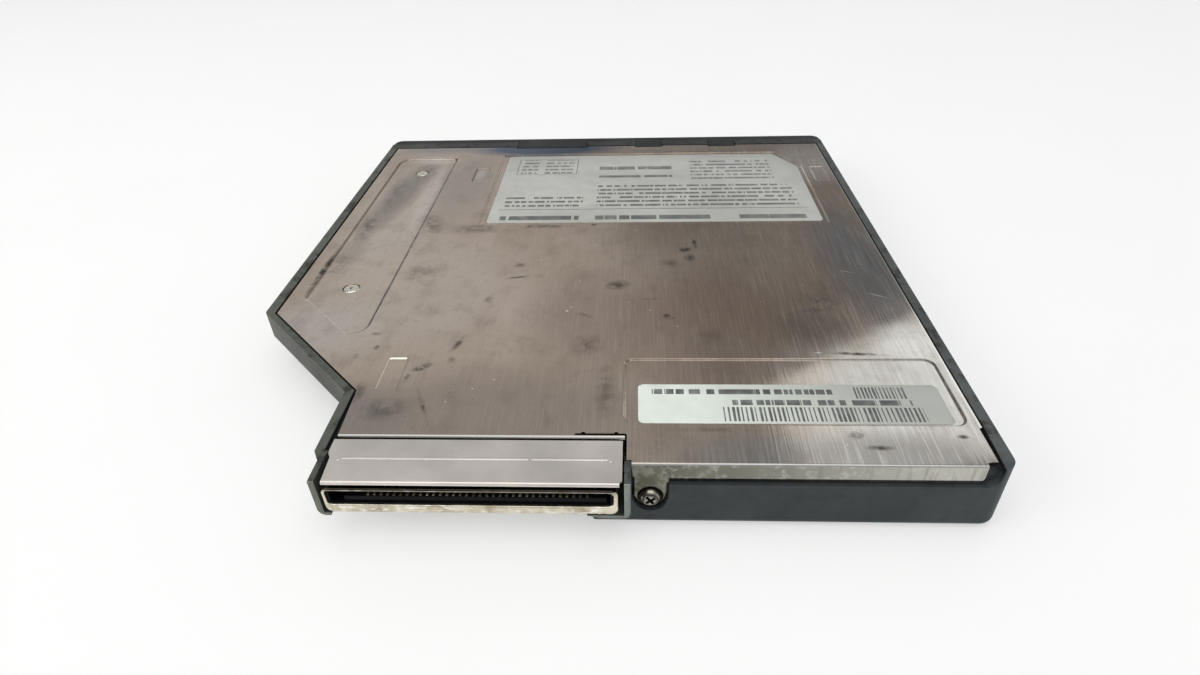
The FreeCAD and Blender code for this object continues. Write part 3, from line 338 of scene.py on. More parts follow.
# a bluish reflection painted into the sheet near its far edge
BLUE_REFLECTION = (47, 129.4, 25, 7)
COVER_STAINS = [
    # x, y, half width, half length, turn, how dark
    (87.2, 69.6, 0.5, 3.4, 4, 0.95), (84.9, 66.6, 1.7, 1.4, 30, 0.7),
    (85.6, 62.8, 1.5, 1.9, -20, 0.55), (81.9, 60.6, 3.4, 2.6, 0, 0.22),
    (70.2, 51.5, 3.2, 2.2, 14, 0.38), (77, 46.2, 2.2, 0.5, 6, 0.4),
    (80.1, 39.8, 1.1, 1.5, 40, 0.72), (64, 79.3, 0.9, 0.7, 0, 0.7),
    (36, 23.9, 2.2, 1.1, 34, 0.62), (34, 20.8, 0.7, 1.3, -10, 0.6),
    (5.7, 58, 0.9, 12, 0, 0.6), (15.4, 113, 4.6, 9, 0, 0.2), (10.4, 100, 3.6, 13, 2, 0.2),
    (8.8, 80, 3, 12, 6, 0.26), (8.6, 60.5, 3.2, 7, 10, 0.22),
    (24.4, 80.5, 4, 8, 10, 0.26), (36, 77.6, 7, 3.2, 0, 0.3),
    (27.4, 57, 5, 5, 0, 0.2), (51, 78.6, 8, 1.3, 0, 0.34),
    (48.5, 60, 1.8, 1.6, 0, 0.3), (49, 54.9, 3.2, 0.5, 12, 0.4), (44, 46.2, 1.2, 1.8, 0, 0.3),
    (63.6, 40.4, 2.4, 0.7, -30, 0.3), (64.8, 30.8, 3.6, 3.6, 0, 0.22),
    (41, 31, 0.9, 3.4, -20, 0.34), (40.7, 26, 0.9, 1.2, 0, 0.3),
    (24.8, 34.2, 1.2, 0.7, 0, 0.4), (26, 29.8, 0.7, 1, 0, 0.4), (22.8, 27.2, 0.8, 1, 0, 0.35),
    (26.6, 17, 1.6, 3, 0, 0.3), (32, 12.6, 5, 3.4, 0, 0.24), (38.6, 13.4, 0.5, 6, 24, 0.3),
    (68.6, 17.6, 2.2, 8, 0, 0.2), (88.5, 33, 6, 3.4, 10, 0.16),
    (110, 44, 6.4, 12, -38, 0.34), (124.4, 58, 1.5, 9, 0, 0.3),
    (112.6, 27.9, 7, 0.55, -4, 0.5), (107.6, 7.2, 1.8, 1.1, 30, 0.34),
    (110.2, 4.4, 2.6, 0.7, 0, 0.4), (123.4, 6.9, 1.1, 0.6, 0, 0.4), (86.7, 8.2, 9, 0.8, 0, 0.2),
]
COVER_SCRATCHES = [
    # x, y, half width, half length, and the turn of those that are longer than wide
    (121.7, 47.2, 0.24, 2.6, 62), (118, 56.6, 0.16, 2.2, 66), (106, 28.2, 0.9, 0.35),
    (76.6, 42.1, 0.24, 0.3), (60.3, 41.9, 0.36, 0.46), (61.1, 43.3, 0.24, 0.3),
    (62.2, 53.2, 0.2, 0.3), (41.4, 53.3, 0.2, 0.24), (72.4, 45.1, 0.2, 0.26),
    (49.3, 20.5, 0.24, 0.2), (46, 18, 0.24, 0.2), (42.1, 14.6, 0.22, 0.2),
    (81.7, 36.5, 0.2, 0.3), (73.9, 76.2, 0.2, 0.3), (107.9, 51.4, 0.2, 0.3),
    (98.4, 45, 0.18, 0.26),
]


def flange_tone(finish, tone):
    """The rear flange is duller than the top, and near black round its screw's dish: painted shade
    there, and dirt.
    """
    x, y, z = finish.axes()
    patches = finish.grain(1.6, 5, shift=(3, 3, 6), rough=0.65)
    streaks = finish.grain(0.9, 3, (1, 8, 8), shift=(6, 3, 6))
    from_screw = finish.length(finish.node("CombineXYZ", (x - SCREW_X, z - SCREW_Z)))
    plain = finish.mix(x.level(88, 118), (0.19, 0.187, 0.155), (0.47, 0.46, 0.41)).under(
        (streaks.level(0.55, 0.72, 0, 0.4), (0.2, 0.19, 0.17)),
        (x.level(84, 74) * patches.level(0.42, 0.6) * 0.8, (0.06, 0.06, 0.04)),
        (x.level(75, 80) * patches.level(0.5, 0.36) * 0.35, (0.62, 0.61, 0.56)),
        # near-black ring round the screw's dish: painted shade and dirt
        (from_screw.level(SCREW_DISH_R + 0.17, SCREW_DISH_R - 0.03, 0, 0.9),
         (0.02, 0.018, 0.012)))
    return tone.under((z.level(12.5, 12.2) * y.within(-1, 1.6), plain))


def brushed_steel(name):
    """Stainless sheet, brushed along y, handled for years: stains, specks and a few scratches;
    painted reflections across the top and along its bends, painted shade with the dirt in its
    pressed walls, and painted highlights on some walls and its right edge.
    """
    finish = Finish(name, COVER_STEEL, 0.22, 1.0, Anisotropic=0.4)
    x, y, _ = finish.axes()
    fresh = x.level(50, 116, 0.24, 1)
    brushing = finish.grain(0.17, 2, (1, 110, 60), shift=(4, 0, 0))
    streaks = finish.grain(0.34, 3, (1, 30, 20), shift=(0, 3, 0))
    broad = finish.grain(22, 5, (1, 1.4, 1), shift=(2.3, 1.1, 0), rough=0.58)
    blotches = finish.grain(6, 6, (1, 1.3, 1), shift=(5, 2, 0), rough=0.66)
    worn = finish.grain(2.2, 6, shift=(1, 9, 0), rough=0.7)
    marked = finish.marked()

    tone = finish.mix(broad.level(0.36, 0.64), (0.42, 0.325, 0.255), (0.53, 0.435, 0.36))
    # patches of aged tone, some of them painted reflections
    for *oval, colour, share in COVER_TONES_AND_REFLECTIONS:
        place = (finish.smudge(*oval) * (share * 1.4)).math("MINIMUM", share)
        tone = tone.under((place, colour))
    tone = tone.under(
        (blotches.level(0.5, 0.72, 0, 0.42), (0.25, 0.195, 0.16)),
        (worn.level(0.55, 0.7, 0, 0.26), (0.24, 0.2, 0.17)),
        (brushing.level(0.38, 0.64, 0, 0.26) * fresh, shade(COVER_STEEL, 0.5)),
        (streaks.level(0.52, 0.72, 0, 0.34) * fresh, (0.7, 0.66, 0.61)),
        (streaks.level(0.48, 0.3, 0, 0.26) * fresh, (0.24, 0.2, 0.175)),
        # the bluish painted reflection near the far edge
        ((finish.smudge(*BLUE_REFLECTION) * 1.7).math("MINIMUM", 0.95), (0.03, 0.068, 0.135)))

    stains = strongest(finish.smudge(*oval) * (dark * 2.3) for *oval, dark in COVER_STAINS)
    # dirt and painted shade in the pressed walls, with the stains
    shade_and_dirt_share = marked * worn.level(0.3, 0.5, 0.6, 1)
    grime_and_shade = strongest([stains.math("MINIMUM", 1.2) * worn.level(0.36, 0.56), shade_and_dirt_share])
    specks = (finish.grain(0.55, 3, shift=(3, 3, 8)).level(0.67, 0.73)
              * (finish.grain(15, 3, shift=(8, 0, 3)).level(0.45, 0.62) * 0.6))
    bright = strongest([finish.dots(6.5, 0.03, (2, 7, 1))]
                       + [finish.smudge(*oval) for oval in COVER_SCRATCHES])
    # a neutral grey painted along the rear bends, as their reflection
    off_fold = (marked - FOLD_MARK).math("ABSOLUTE")
    fold_reflection = off_fold.level(0.06, 0.03, 0, 0.75) * y.level(9.6, 9.2)
    tone = tone.under((grime_and_shade, (0.07, 0.058, 0.05)), (specks, (0.12, 0.1, 0.08)),
                      (bright * 0.75, (0.95, 0.93, 0.88)), (fold_reflection, (0.4, 0.41, 0.405)))

    # painted highlights: on walls marked below 0 and along the cover's right edge
    rubbed = strongest([marked.level(0, -1), x.level(126.6, 126.85, 0, 0.8)])
    tone = flange_tone(finish, tone).under((rubbed * 0.8, (0.74, 0.73, 0.69)))
    dull = blotches.level(0.4, 0.75, 0.08, 0.15) + streaks.level(0.3, 0.7, -0.015, 0.02)
    finish.surface(Tangent=finish.node("Tangent", direction_type="UV_MAP", uv_map="brushing"))
    return finish.coated(tone, dull + grime_and_shade * 0.3, (brushing * 0.3 + streaks) * fresh, 0.009)


def plain_sheet(name, colour):
    """The paler plated sheet: almost grainless, with small rubbed marks."""
    finish = Finish(name, colour, 0.36, 1.0)
    soft = finish.grain(11, 4, shift=(4, 1, 0))
    rubbed = finish.grain(0.9, 4, (2.4, 1, 1), shift=(1, 4, 2)).level(0.66, 0.76, 0, 0.4)
    tone = finish.mix(soft.level(0.36, 0.66), shade(colour, 0.9), shade(colour, 1.06))
    return finish.coated(tone.under((rubbed, (0.86, 0.84, 0.8))), soft.level(0.3, 0.7, 0.31, 0.44),
                         finish.grain(0.16, 2, (8, 1, 1)), 0.004)


def plated_shell(name):
    """Champagne plating, scraped brighter in slanting strokes by plugging and unplugging; darker
    towards the top, and its top face painted near black as shade under the shield.
    """
    finish = Finish(name, (0.62, 0.56, 0.43), 0.25, 1.0)
    strokes = finish.grain(0.7, 3, (5, 1, 1), turn=24, shift=(2, 2, 0))
    clouds = finish.grain(3.5, 4, shift=(6, 1, 3))
    z = finish.axes()[2]
    tone = finish.mix(clouds.level(0.38, 0.62), (0.42, 0.36, 0.26), (0.72, 0.67, 0.54)).under(
        (z.level(10.3, 10.7, 0, 0.5), (0.26, 0.22, 0.16)),
        (strokes.level(0.5, 0.66, 0, 0.75), (0.95, 0.93, 0.86)),
        # the top face painted near black, as shade under the shield
        (z.level(10.84, 10.96, 0, 0.95), (0.02, 0.018, 0.014)))
    return finish.coated(tone, clouds.level(0.3, 0.7, 0.18, 0.34), strokes, 0.012)


MAIN_PAPER = (0.45, 0.455, 0.425)
SERIAL_PAPER = (0.72, 0.775, 0.72)
INK = (0.045, 0.046, 0.048)


def paper(finish, colour, soil):
    """Coated label paper: faint mottling under an uneven grey film of handling."""
    mottle = finish.grain(3, 5, shift=(2, 2, 2))
    film = finish.grain(17, 3, shift=(5, 0, 1))
    tone = finish.mix(mottle.level(0.3, 0.7), shade(colour, 0.94), shade(colour, 1.05))
    return tone.under((film.level(0.4, 0.75, 0, soil), shade(colour, 0.6)))


def dashes(finish, x, y, row, run, threshold, shift, low=0.3, high=0.75):
    """Rows of short dashes, broken up differently in each row."""
    line = y / row
    row_shift = line.math("FLOOR").math("MULTIPLY_ADD", 7.31, shift)
    place = finish.node("CombineXYZ", (x / run, row_shift))
    noise = finish.pattern("TexNoise", {"Vector": place, "Scale": 1, "Detail": 3})
    return (noise > threshold) * line.math("FRACT").within(low, high)


def bars(finish, x, pitch, shift):
    """Upright bars at an even pitch, of chance widths that spell nothing."""
    place = x / pitch
    chance = finish.pattern("TexWhiteNoise", {"W": place.math("FLOOR") + shift}, "Value",
                            noise_dimensions="1D")
    return place.math("FRACT") < chance.math("MULTIPLY_ADD", 0.5, 0.22)


def printed(finish, tone, marks, strength):
    """The paper with its marks in faded ink."""
    fade = finish.grain(2.5, 4, shift=(4, 9, 1)).level(0.3, 0.6, 0.74, 1)
    return finish.coated(tone.under((marks * fade * strength, INK)),
                         finish.grain(4, 3).level(0.3, 0.7, 0.28, 0.42),
                         finish.grain(0.35, 2), 0.004)


def boxed(x, y, left, right, low, high):
    """1 inside an upright rectangle of the label, else 0."""
    return x.within(left, right) * y.within(low, high)


def main_label_print():
    """Ruled lines, an empty table and rows of dashes: a made-up sheet with nothing to read."""
    finish = Finish("main_label_print", MAIN_PAPER, 0.35)
    x, y, _ = finish.axes()
    rules = [(39.5, 116.4, 88.2, 88.5), (41, 41.25, 110.6, 121.6), (57.6, 57.85, 110.6, 121.6),
             (41, 57.85, 110.6, 110.85), (41, 57.85, 121.35, 121.6)]
    marks = [boxed(x, y, *rule) for rule in rules]
    bold = dashes(finish, x, y, 6.2, 1.6, 0.41, 6, 0.3, 0.66)
    text = dashes(finish, x, y, 2.35, 0.9, 0.44, 3)
    for kind, *field in [
            (bold, 40.5, 60, 80, 87), (bold, 64, 92, 80, 87), (bold, 99, 115, 80, 87),
            (bold, 64, 84, 108, 118), (text, 64, 114.5, 89.6, 103.6),
            (text, 40.5, 60.5, 89.6, 96), (text, 42.2, 46.8, 111.2, 121),
            (text, 48.8, 56.6, 111.2, 121), (text, 89, 111, 106.5, 120.4)]:
        marks.append(kind * boxed(x, y, *field))
    return printed(finish, paper(finish, MAIN_PAPER, 0.5), strongest(marks), 0.85)


def serial_label_print():
    """Two rows of dashes and two rows of bars, on paper that is greyer on the right."""
    finish = Finish("serial_label_print", SERIAL_PAPER, 0.35)
    x, y, _ = finish.axes()
    text = dashes(finish, x, y, 2.7, 0.95, 0.44, 8, 0.3, 0.78)
    marks = strongest([bars(finish, x, 0.72, 3) * boxed(x, y, 87.4, 119.6, 10.4, 13.8),
                       bars(finish, x, 0.6, 40) * boxed(x, y, 109.4, 118, 16, 18.9),
                       text * boxed(x, y, 76.4, 106.4, 16.8, 18.6),
                       text * boxed(x, y, 89.5, 118.4, 14.1, 15.8)])
    tone = paper(finish, SERIAL_PAPER, 0.3)
    tone = tone.under((x.level(82, 112, 0, 0.85), (0.34, 0.345, 0.32)))
    return printed(finish, tone, marks, 0.95)


def circuit_board(name, mask):
    """Solder mask over copper tracks, with fine weave showing through."""
    finish = Finish(name, mask, 0.36, Coat_Weight=0.3)
    bricks = {"Vector": finish.mapped(2.6), "Scale": 1, "Mortar Size": 0.07}
    track = (finish.pattern("TexBrick", bricks, "Fac")
             * finish.grain(5, 1, shift=(3, 3, 3)).level(0.42, 0.5))
    weave = finish.grain(0.3, 1, (1, 3, 1))
    pads = finish.dots(2.6, 0.16, (1, 2, 3))
    tone = finish.mix(track, mask, shade(mask, 1.9)).under(
        (weave.level(0.4, 0.6, 0, 0.15), shade(mask, 0.6)),
        (pads.level(0.2, 0.4), (0.62, 0.6, 0.52)))
    return finish.coated(tone, 0.36, track + pads, 0.03)


def wound_copper(name):
    """Enamelled wire in fine turns round the spindle's axis."""
    finish = Finish(name, (0.6, 0.26, 0.11), 0.3, 1.0)
    radial = finish.vector("SUBTRACT", finish.space, at(*SPINDLE, 0))
    flat = finish.vector("MULTIPLY", radial, (1 / MM, 1 / MM, 0))
    ridge = finish.length(flat).math("PINGPONG", 0.14).level(0, 0.14)
    return finish.coated(finish.mix(ridge, (0.2, 0.07, 0.03), (0.78, 0.38, 0.17)), 0.3, ridge, 0.08)


def ribbon(name):
    """Flat flexible cable: bright conductors under clear white film."""
    finish = Finish(name, (0.74, 0.75, 0.74), 0.4)
    lines = finish.axes()[0].math("PINGPONG", 0.5).level(0.22, 0.3)
    return finish.coated(finish.mix(lines, (0.46, 0.44, 0.4), (0.78, 0.79, 0.78)), 0.4, lines, 0.03)


CASE_GREY = (0.042, 0.046, 0.045)
CASE_WORN = (0.15, 0.155, 0.145)
BEZEL_GREY = (0.016, 0.017, 0.018)
METALS = {
    # colour, roughness, grain, stretch of the grain, stain
    "contact_gold": ((0.98, 0.84, 0.58), 0.42, 0.3),
    "screw_steel": ((0.72, 0.69, 0.6), 0.22, 0.3, (1, 1, 1), 0.5),
    "plated_steel": ((0.58, 0.59, 0.57), 0.36, 0.5, (1, 4, 1)),
    "core_steel": ((0.34, 0.35, 0.37), 0.42, 0.2, (4, 4, 0.6)),
    "bearing_bronze": ((0.55, 0.38, 0.17), 0.38, 0.2),
    "bright_steel": ((0.72, 0.72, 0.72), 0.16, 0.3, (1, 1, 5)),
    "die_cast": ((0.46, 0.47, 0.48), 0.5, 0.3),
}
SMOOTH_PARTS = {
    # colour, roughness, grain, and what else the surface has
    # black plastic made darker still, as painted shade inside the plug's mouth
    "socket_black": ((0.004, 0.004, 0.005), 0.5, 0.3, ("Specular_IOR_Level", 0.1)),
    "chip_black": ((0.02, 0.02, 0.021), 0.5, 0.2),
    "film_amber": ((0.62, 0.3, 0.06), 0.25, 0.6, ("Coat_Weight", 0.4)),
    "magnet_ferrite": ((0.05, 0.05, 0.055), 0.6, 0.15),
    "head_ceramic": ((0.12, 0.11, 0.1), 0.2, 0.2),
    "roller_plastic": ((0.78, 0.76, 0.7), 0.35, 0.3),
    "lens_green": ((0.35, 0.6, 0.32), 0.12, 1.0, ("Transmission_Weight", 0.55)),
}
SLOT_FINISHES = {
    "case_plastic": moulded("case_plastic", CASE_GREY, placed=case_tones),
    "cover_steel": brushed_steel("brushed_cover_steel"),
    "shield_steel": plain_sheet("shield_steel", (0.65, 0.605, 0.565)),
    "shell_plate": plated_shell("shell_plate"),
    "board_green": circuit_board("board_green", (0.02, 0.13, 0.055)),
    "ribbon_white": ribbon("ribbon_white"),
    "coil_copper": wound_copper("coil_copper"),
    **{slot: turned_metal(slot, *look) for slot, look in METALS.items()},
    **{slot: smooth_part(slot, *look) for slot, look in SMOOTH_PARTS.items()},
}
case_finishes = [SLOT_FINISHES["case_plastic"],
                 worn_edge("case_plastic_worn", CASE_GREY, CASE_WORN, case_tones)]
bezel_finishes = [moulded("bezel_plastic", BEZEL_GREY, 0.15),
                  worn_edge("bezel_plastic_worn", BEZEL_GREY, shade(CASE_WORN, 0.6))]
rear_screw_steel = turned_metal("rear_screw_steel", (0.44, 0.42, 0.355), 0.26, 0.3, stain=0.8)
main_print = main_label_print()
serial_print = serial_label_print()


# ---------------------------------------------------------------- shaping

def added(name, data):
    """A new object in the scene."""
    made = bpy.data.objects.new(name, data)
    bpy.context.scene.collection.objects.link(made)
    return made


def piece(name, mesh, slot, *replaced, finishes=None, body="case"):
    """A finished piece: it rides on a body and stands for the CAD nodes that it replaces."""
    made = added(name, mesh)
    mesh.materials.clear()
    for finish in finishes or [SLOT_FINISHES[slot]]:
        mesh.materials.append(finish)
    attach(made, body)
    if replaced:
        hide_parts(*replaced)
    return made


def mesh_from(form, name):
    """Ends a bmesh and gives its plain mesh."""
    mesh = bpy.data.meshes.new(name)
    form.to_mesh(mesh)
    form.free()
    return mesh


def with_modifiers(made):
    """A plain mesh of an object as its modifiers leave it."""
    evaluated = made.evaluated_get(bpy.context.evaluated_depsgraph_get())
    return bpy.data.meshes.new_from_object(evaluated)


def smooth(mesh, angle=35):
    mesh.shade_smooth()
    mesh.set_sharp_from_angle(angle=math.radians(angle))


def soften(made, width, segments=2, angle=35, edge_finish=0):
    """Breaks the hard edges; edge_finish is the material slot that the new edges take."""
    bevel = made.modifiers.new("broken_edges", "BEVEL")
    bevel.limit_method = "ANGLE"
    bevel.angle_limit = math.radians(angle)
    bevel.width = width * MM
    bevel.segments = segments
    bevel.use_clamp_overlap = True
    bevel.material = edge_finish
    weigh = made.modifiers.new("even_normals", "WEIGHTED_NORMAL")
    weigh.keep_sharp = True


def thicken(sheet, thickness, edge, segments):
    """Gives a sheet its thickness, below the face that is drawn, and breaks its edges."""
    thick = sheet.modifiers.new("sheet_thickness", "SOLIDIFY")
    thick.thickness = thickness * MM
    thick.offset = -1
    soften(sheet, edge, segments, 50)


def mark_painted_shade(mesh, in_shade):
    """Marks the vertices painted dark as shade in gaps and recesses, told by their places in
    millimetres.
    """
    dirt_and_shade = mesh.attributes.new("groove", "FLOAT", "POINT")
    for vert, spot in zip(mesh.vertices, dirt_and_shade.data):
        spot.value = 1 if in_shade(vert.co / MM) else 0


def merged_copy(node):
    """The CAD solid's faces joined up, with coplanar triangles as single faces."""
    mesh = frame["nodes"][node].data.copy()
    mesh.name = node + "_form"
    form = bmesh.new()
    form.from_mesh(mesh)
    bmesh.ops.remove_doubles(form, verts=form.verts, dist=0.002 * MM)
    bmesh.ops.dissolve_limit(form, angle_limit=math.radians(0.8), verts=form.verts,
                             edges=form.edges)
    form.to_mesh(mesh)
    form.free()
    smooth(mesh)
    return mesh


def moulded_piece(node, name, slot, finishes, body, edge, shaded_level):
    """A moulding; its flat faces at the shaded level are marked to be painted near black, as shade
    in a gap.
    """
    made = piece(name, merged_copy(node), slot, node, finishes=finishes, body=body)
    if shaded_level:
        mark_painted_shade(made.data, lambda place: abs(place.z - shaded_level) < 0.02)
    soften(made, edge, edge_finish=len(made.data.materials) - 1)


def skin(form, rows, closed=True):
    """Faces between each row of vertices and the next; a row of one vertex is a tip."""
    for first, second in zip(rows, rows[1:]):
        count = max(len(first), len(second))
        for index in range(count if closed else count - 1):
            after = index + 1
            corners = (first[index % len(first)], first[after % len(first)],
                       second[after % len(second)], second[index % len(second)])
            form.faces.new(list(dict.fromkeys(corners)))


class Form:
    """A mesh under construction, drawn in millimetres."""

    def __init__(self, name):
        self.name = name
        self.mesh = bmesh.new()
        self.groove = self.mesh.verts.layers.float.new("groove")

    def loop(self, points):
        return [self.mesh.verts.new(at(*point)) for point in points]

    def flat(self, outline, z=COVER_TOP):
        return self.loop([(x, y, z) for x, y in outline])

    def skin(self, loops, closed=True):
        skin(self.mesh, loops, closed)

    def cap(self, *loops):
        for loop in loops:
            self.mesh.faces.new(loop)

    def fill(self, *loops, across="y"):
        """A flat sheet inside the first loop, with the other loops as its rounded holes."""
        verts = [vert for loop in loops for vert in loop]
        plan = [Vector((vert.co.x, getattr(vert.co, across))) / MM for vert in verts]
        edges = []
        for loop in loops:
            start = len(edges)
            count = len(loop)
            edges += [(start + step, start + (step + 1) % count) for step in range(count)]
        holes = [set(loop) for loop in loops[1:]]
        only_inside = 1
        found = delaunay_2d_cdt(plan, edges, [], only_inside, 1e-6)
        origins = found[3]
        for face in found[2]:
            corners = [verts[origins[corner][0]] for corner in face]
            if not any(hole.issuperset(corners) for hole in holes):
                self.mesh.faces.new(corners)

    def done(self, up=False):
        """The finished mesh; an open sheet is turned so that most of it faces up."""
        bmesh.ops.remove_doubles(self.mesh, verts=self.mesh.verts, dist=0.001 * MM)
        bmesh.ops.recalc_face_normals(self.mesh, faces=self.mesh.faces)
        made = mesh_from(self.mesh, self.name)
        if up and sum(face.normal.z * face.area for face in made.polygons) < 0:
            made.flip_normals()
        smooth(made)
        return made


def arc(x, y, radius, start, turn, steps=6):
    """Points along part of a circle, from a start angle through a turn, in degrees."""
    angles = [math.radians(start + turn * step / steps) for step in range(steps + 1)]
    return [(x + radius * math.cos(angle), y + radius * math.sin(angle)) for angle in angles]


def rounded(corners, inset=0.0, steps=6):
    """A plan outline, anticlockwise, of (x, y, radius) corners, its sides moved in by inset."""
    points = [Vector(corner[:2]) for corner in corners]
    outline = []
    for index, corner in enumerate(points):
        come = (corner - points[index - 1]).normalized()
        leave = (points[(index + 1) % len(points)] - corner).normalized()
        turn = math.atan2(come.cross(leave), come.dot(leave))
        side = 1 if turn > 0 else -1
        normal_in = Vector((-come.y, come.x))
        normal_out = Vector((-leave.y, leave.x))
        half = normal_in + normal_out
        moved = corner + half * (inset / (1 + normal_in.dot(normal_out)))
        bend = max(corners[index][2] - inset * side, 0.04)
        first = moved - come * (bend * abs(math.tan(turn / 2)))
        centre = first + normal_in * (bend * side)
        start = math.atan2(*reversed(first - centre))
        outline += arc(*centre, bend, math.degrees(start), math.degrees(turn), steps)
    return outline


def circle(x, y, radius, count=32):
    return arc(x, y, radius, 0, 360, count)[:-1]


# ---------------------------------------------------------------- the top cover

STRIP = [(6, 47, 0.6), (18.5, 34.5, 1.2), (22.2, 34.5, 3), (22.2, 122.5, 0.8), (6, 122.5, 3)]
LABEL_BED = [(35.9, 79.9, 0.6), (119.6, 79.9, 0.6), (119.6, 114.6, 1.5), (113.6, 125, 1.5),
             (35.9, 125, 0.6)]
SERIAL_BED = [(71.9, 9.5, 1.8), (125.3, 9.5, 1.8), (125.3, 26.4, 1.8), (71.9, 26.4, 1.4)]
DIMPLES = [(29.5, 105.8, 0.3), (29.3, 17.3, -0.9), (121.6, 104.5, 0.3)]
DIMPLE_SIZE = (3.6, 9.3)
COVER_SCREWS = [(14.1, 51.2), (14.2, 112.6)]
CLIPS = [(38.9, 59.4), (74.2, 81.7), (95.7, 103.1)]
COVER_RIGHT = 127
COVER_LEFT = 2.4
COVER_FAR = 131
CLIP_NOTCH_Y = 130.05
FLANGE_LEFT = 73.05
FLANGE_RIGHT = 124.9
FLANGE_LOW = 9.05
FLANGE_Y = 0.7
TAB_HALF = 2.4
BEND_R = 0.4
FOLD_R = 0.5
FOLD_Y = 6.3 + FOLD_R
WALL_STEPS = 6
BEND_STEPS = 6


def dimple(x, y, far_dirt_and_shade):
    """A small oblong pressing, from its rear left corner and the dirt and painted shade in its far
    wall, a painted highlight where below 0.
    """
    right, far = x + DIMPLE_SIZE[0], y + DIMPLE_SIZE[1]
    outline = [(x, y, 0.5), (right, y, 0.5), (right, far, 0.5), (x, far, 0.5)]
    return outline, 0.2, 0.4, (0.2, 0.2, far_dirt_and_shade)


PRESSINGS = [
    # outline, depth, wall width, and the dirt and painted shade in its wall, a painted highlight
    # where below 0: all round, right side, far side
    (STRIP, PRESS, 0.8, (0.15, 1.2, -0.3)),
    (LABEL_BED, PRESS, 0.4, (0.1, 0.1, 0.6)),
    (SERIAL_BED, PRESS, 0.4, (-0.1, 0.9, 0.45)),
    *(dimple(*place) for place in DIMPLES),
]


def pressed(form, corners, depth, width, dirt_and_shade):
    """A recess's sloped wall with a flat margin at both ends: its outer and inner loops."""
    outer_plan = rounded(corners, -width / 2)
    inner_plan = rounded(corners, width / 2)
    around, right, far = dirt_and_shade
    loops = []
    for step in range(-1, WALL_STEPS + 2):
        share = min(max(step / WALL_STEPS, 0), 1)
        drop = depth * (3 * share ** 2 - 2 * share ** 3)
        plan = rounded(corners, width * (step / WALL_STEPS - 0.5))
        loop = form.flat(plan, COVER_TOP - drop)
        # the wall holds dirt and painted shade, most at its middle and on its right and far sides;
        # below 0 it is a painted highlight
        shade_and_dirt_share = min(1, max(0, 2 - abs(share - 0.5) * 4))
        for vert, outer, inner in zip(loop, outer_plan, inner_plan):
            out = (Vector(outer) - Vector(inner)).normalized()
            wall = around + right * max(0, out.x + 0.6) / 1.6 + far * max(0, out.y)
            vert[form.groove] = shade_and_dirt_share * min(1, wall)
        loops.append(loop)
    form.skin(loops)
    return loops[0], loops[-1]


def bent(form, edge, radius, drop):
    """Folds a sheet's rear edge down: a quarter turn, then a straight drop."""
    angles = [math.pi / 2 * step / BEND_STEPS for step in range(BEND_STEPS + 1)]
    places = [(radius * math.sin(angle), radius * (1 - math.cos(angle))) for angle in angles]
    if drop:
        places.append((radius, radius + drop))
    loops = [form.flat([(x, y - back) for x, y in edge], COVER_TOP - down)
             for back, down in places]
    form.skin(loops, closed=False)
    # the bent rows get the fold mark, where the cover's finish paints a grey reflection
    for step, loop in enumerate(loops[1:], 1):
        for vert in loop:
            vert[form.groove] = FOLD_MARK * (1 if drop else math.sin(math.pi * step / BEND_STEPS))


def flange_face(form, top_z):
    """The rear flange and its screw tab, with a dished hole for the screw's head."""
    plan = [(FLANGE_LEFT, top_z), (FLANGE_LEFT, 9.9)]
    plan += arc(SCREW_X - TAB_HALF - 0.22, 9.6, 0.22, 90, -90, 3)
    plan += arc(SCREW_X, SCREW_Z, TAB_HALF, 180, 180, 16)
    plan += arc(SCREW_X + TAB_HALF + 0.7, FLANGE_LOW - 0.7, 0.7, 180, -90)
    plan += arc(FLANGE_RIGHT - 0.4, FLANGE_LOW + 0.4, 0.4, -90, 90, 4)
    plan.append((FLANGE_RIGHT, top_z))
    outer = form.loop([(x, FLANGE_Y, z) for x, z in plan])
    dish = [form.loop([(x, FLANGE_Y + sink, z) for x, z in circle(SCREW_X, SCREW_Z, radius)])
            for radius, sink in ((SCREW_DISH_R, 0), (1.94, 0.03), (1.84, 0.16), (1.76, 0.2),
                                 (1.1, 0.2))]
    form.fill(outer, dish[0], across="z")
    form.skin(dish)


def cover_outline():
    """The flat top's edge, anticlockwise from the flange's left end."""
    bend_y = FLANGE_Y + BEND_R
    outline = [(72.3, 1.5), (FLANGE_LEFT, 1.5), (FLANGE_LEFT, bend_y), (FLANGE_RIGHT, bend_y),
               (FLANGE_RIGHT, 1.6), (126.5, 1.6), (126.5, 8.75), (COVER_RIGHT, 9),
               (COVER_RIGHT, COVER_FAR)]
    for left, right in reversed(CLIPS):
        outline += [(right + 0.3, COVER_FAR), (right + 0.3, CLIP_NOTCH_Y),
                    (left - 0.3, CLIP_NOTCH_Y), (left - 0.3, COVER_FAR)]
    outline += [(COVER_LEFT, COVER_FAR), (COVER_LEFT, 41.3), (26.2, 17.5), (26.7, FOLD_Y),
                (64.2, FOLD_Y), (64.2, 7.2)]
    outline += arc(65.5, 7.2, 0.35, 180, -180) + arc(70.65, 7.2, 0.35, 180, -180)
    return outline + [(72.05, 7.2), (72.3, 7)]


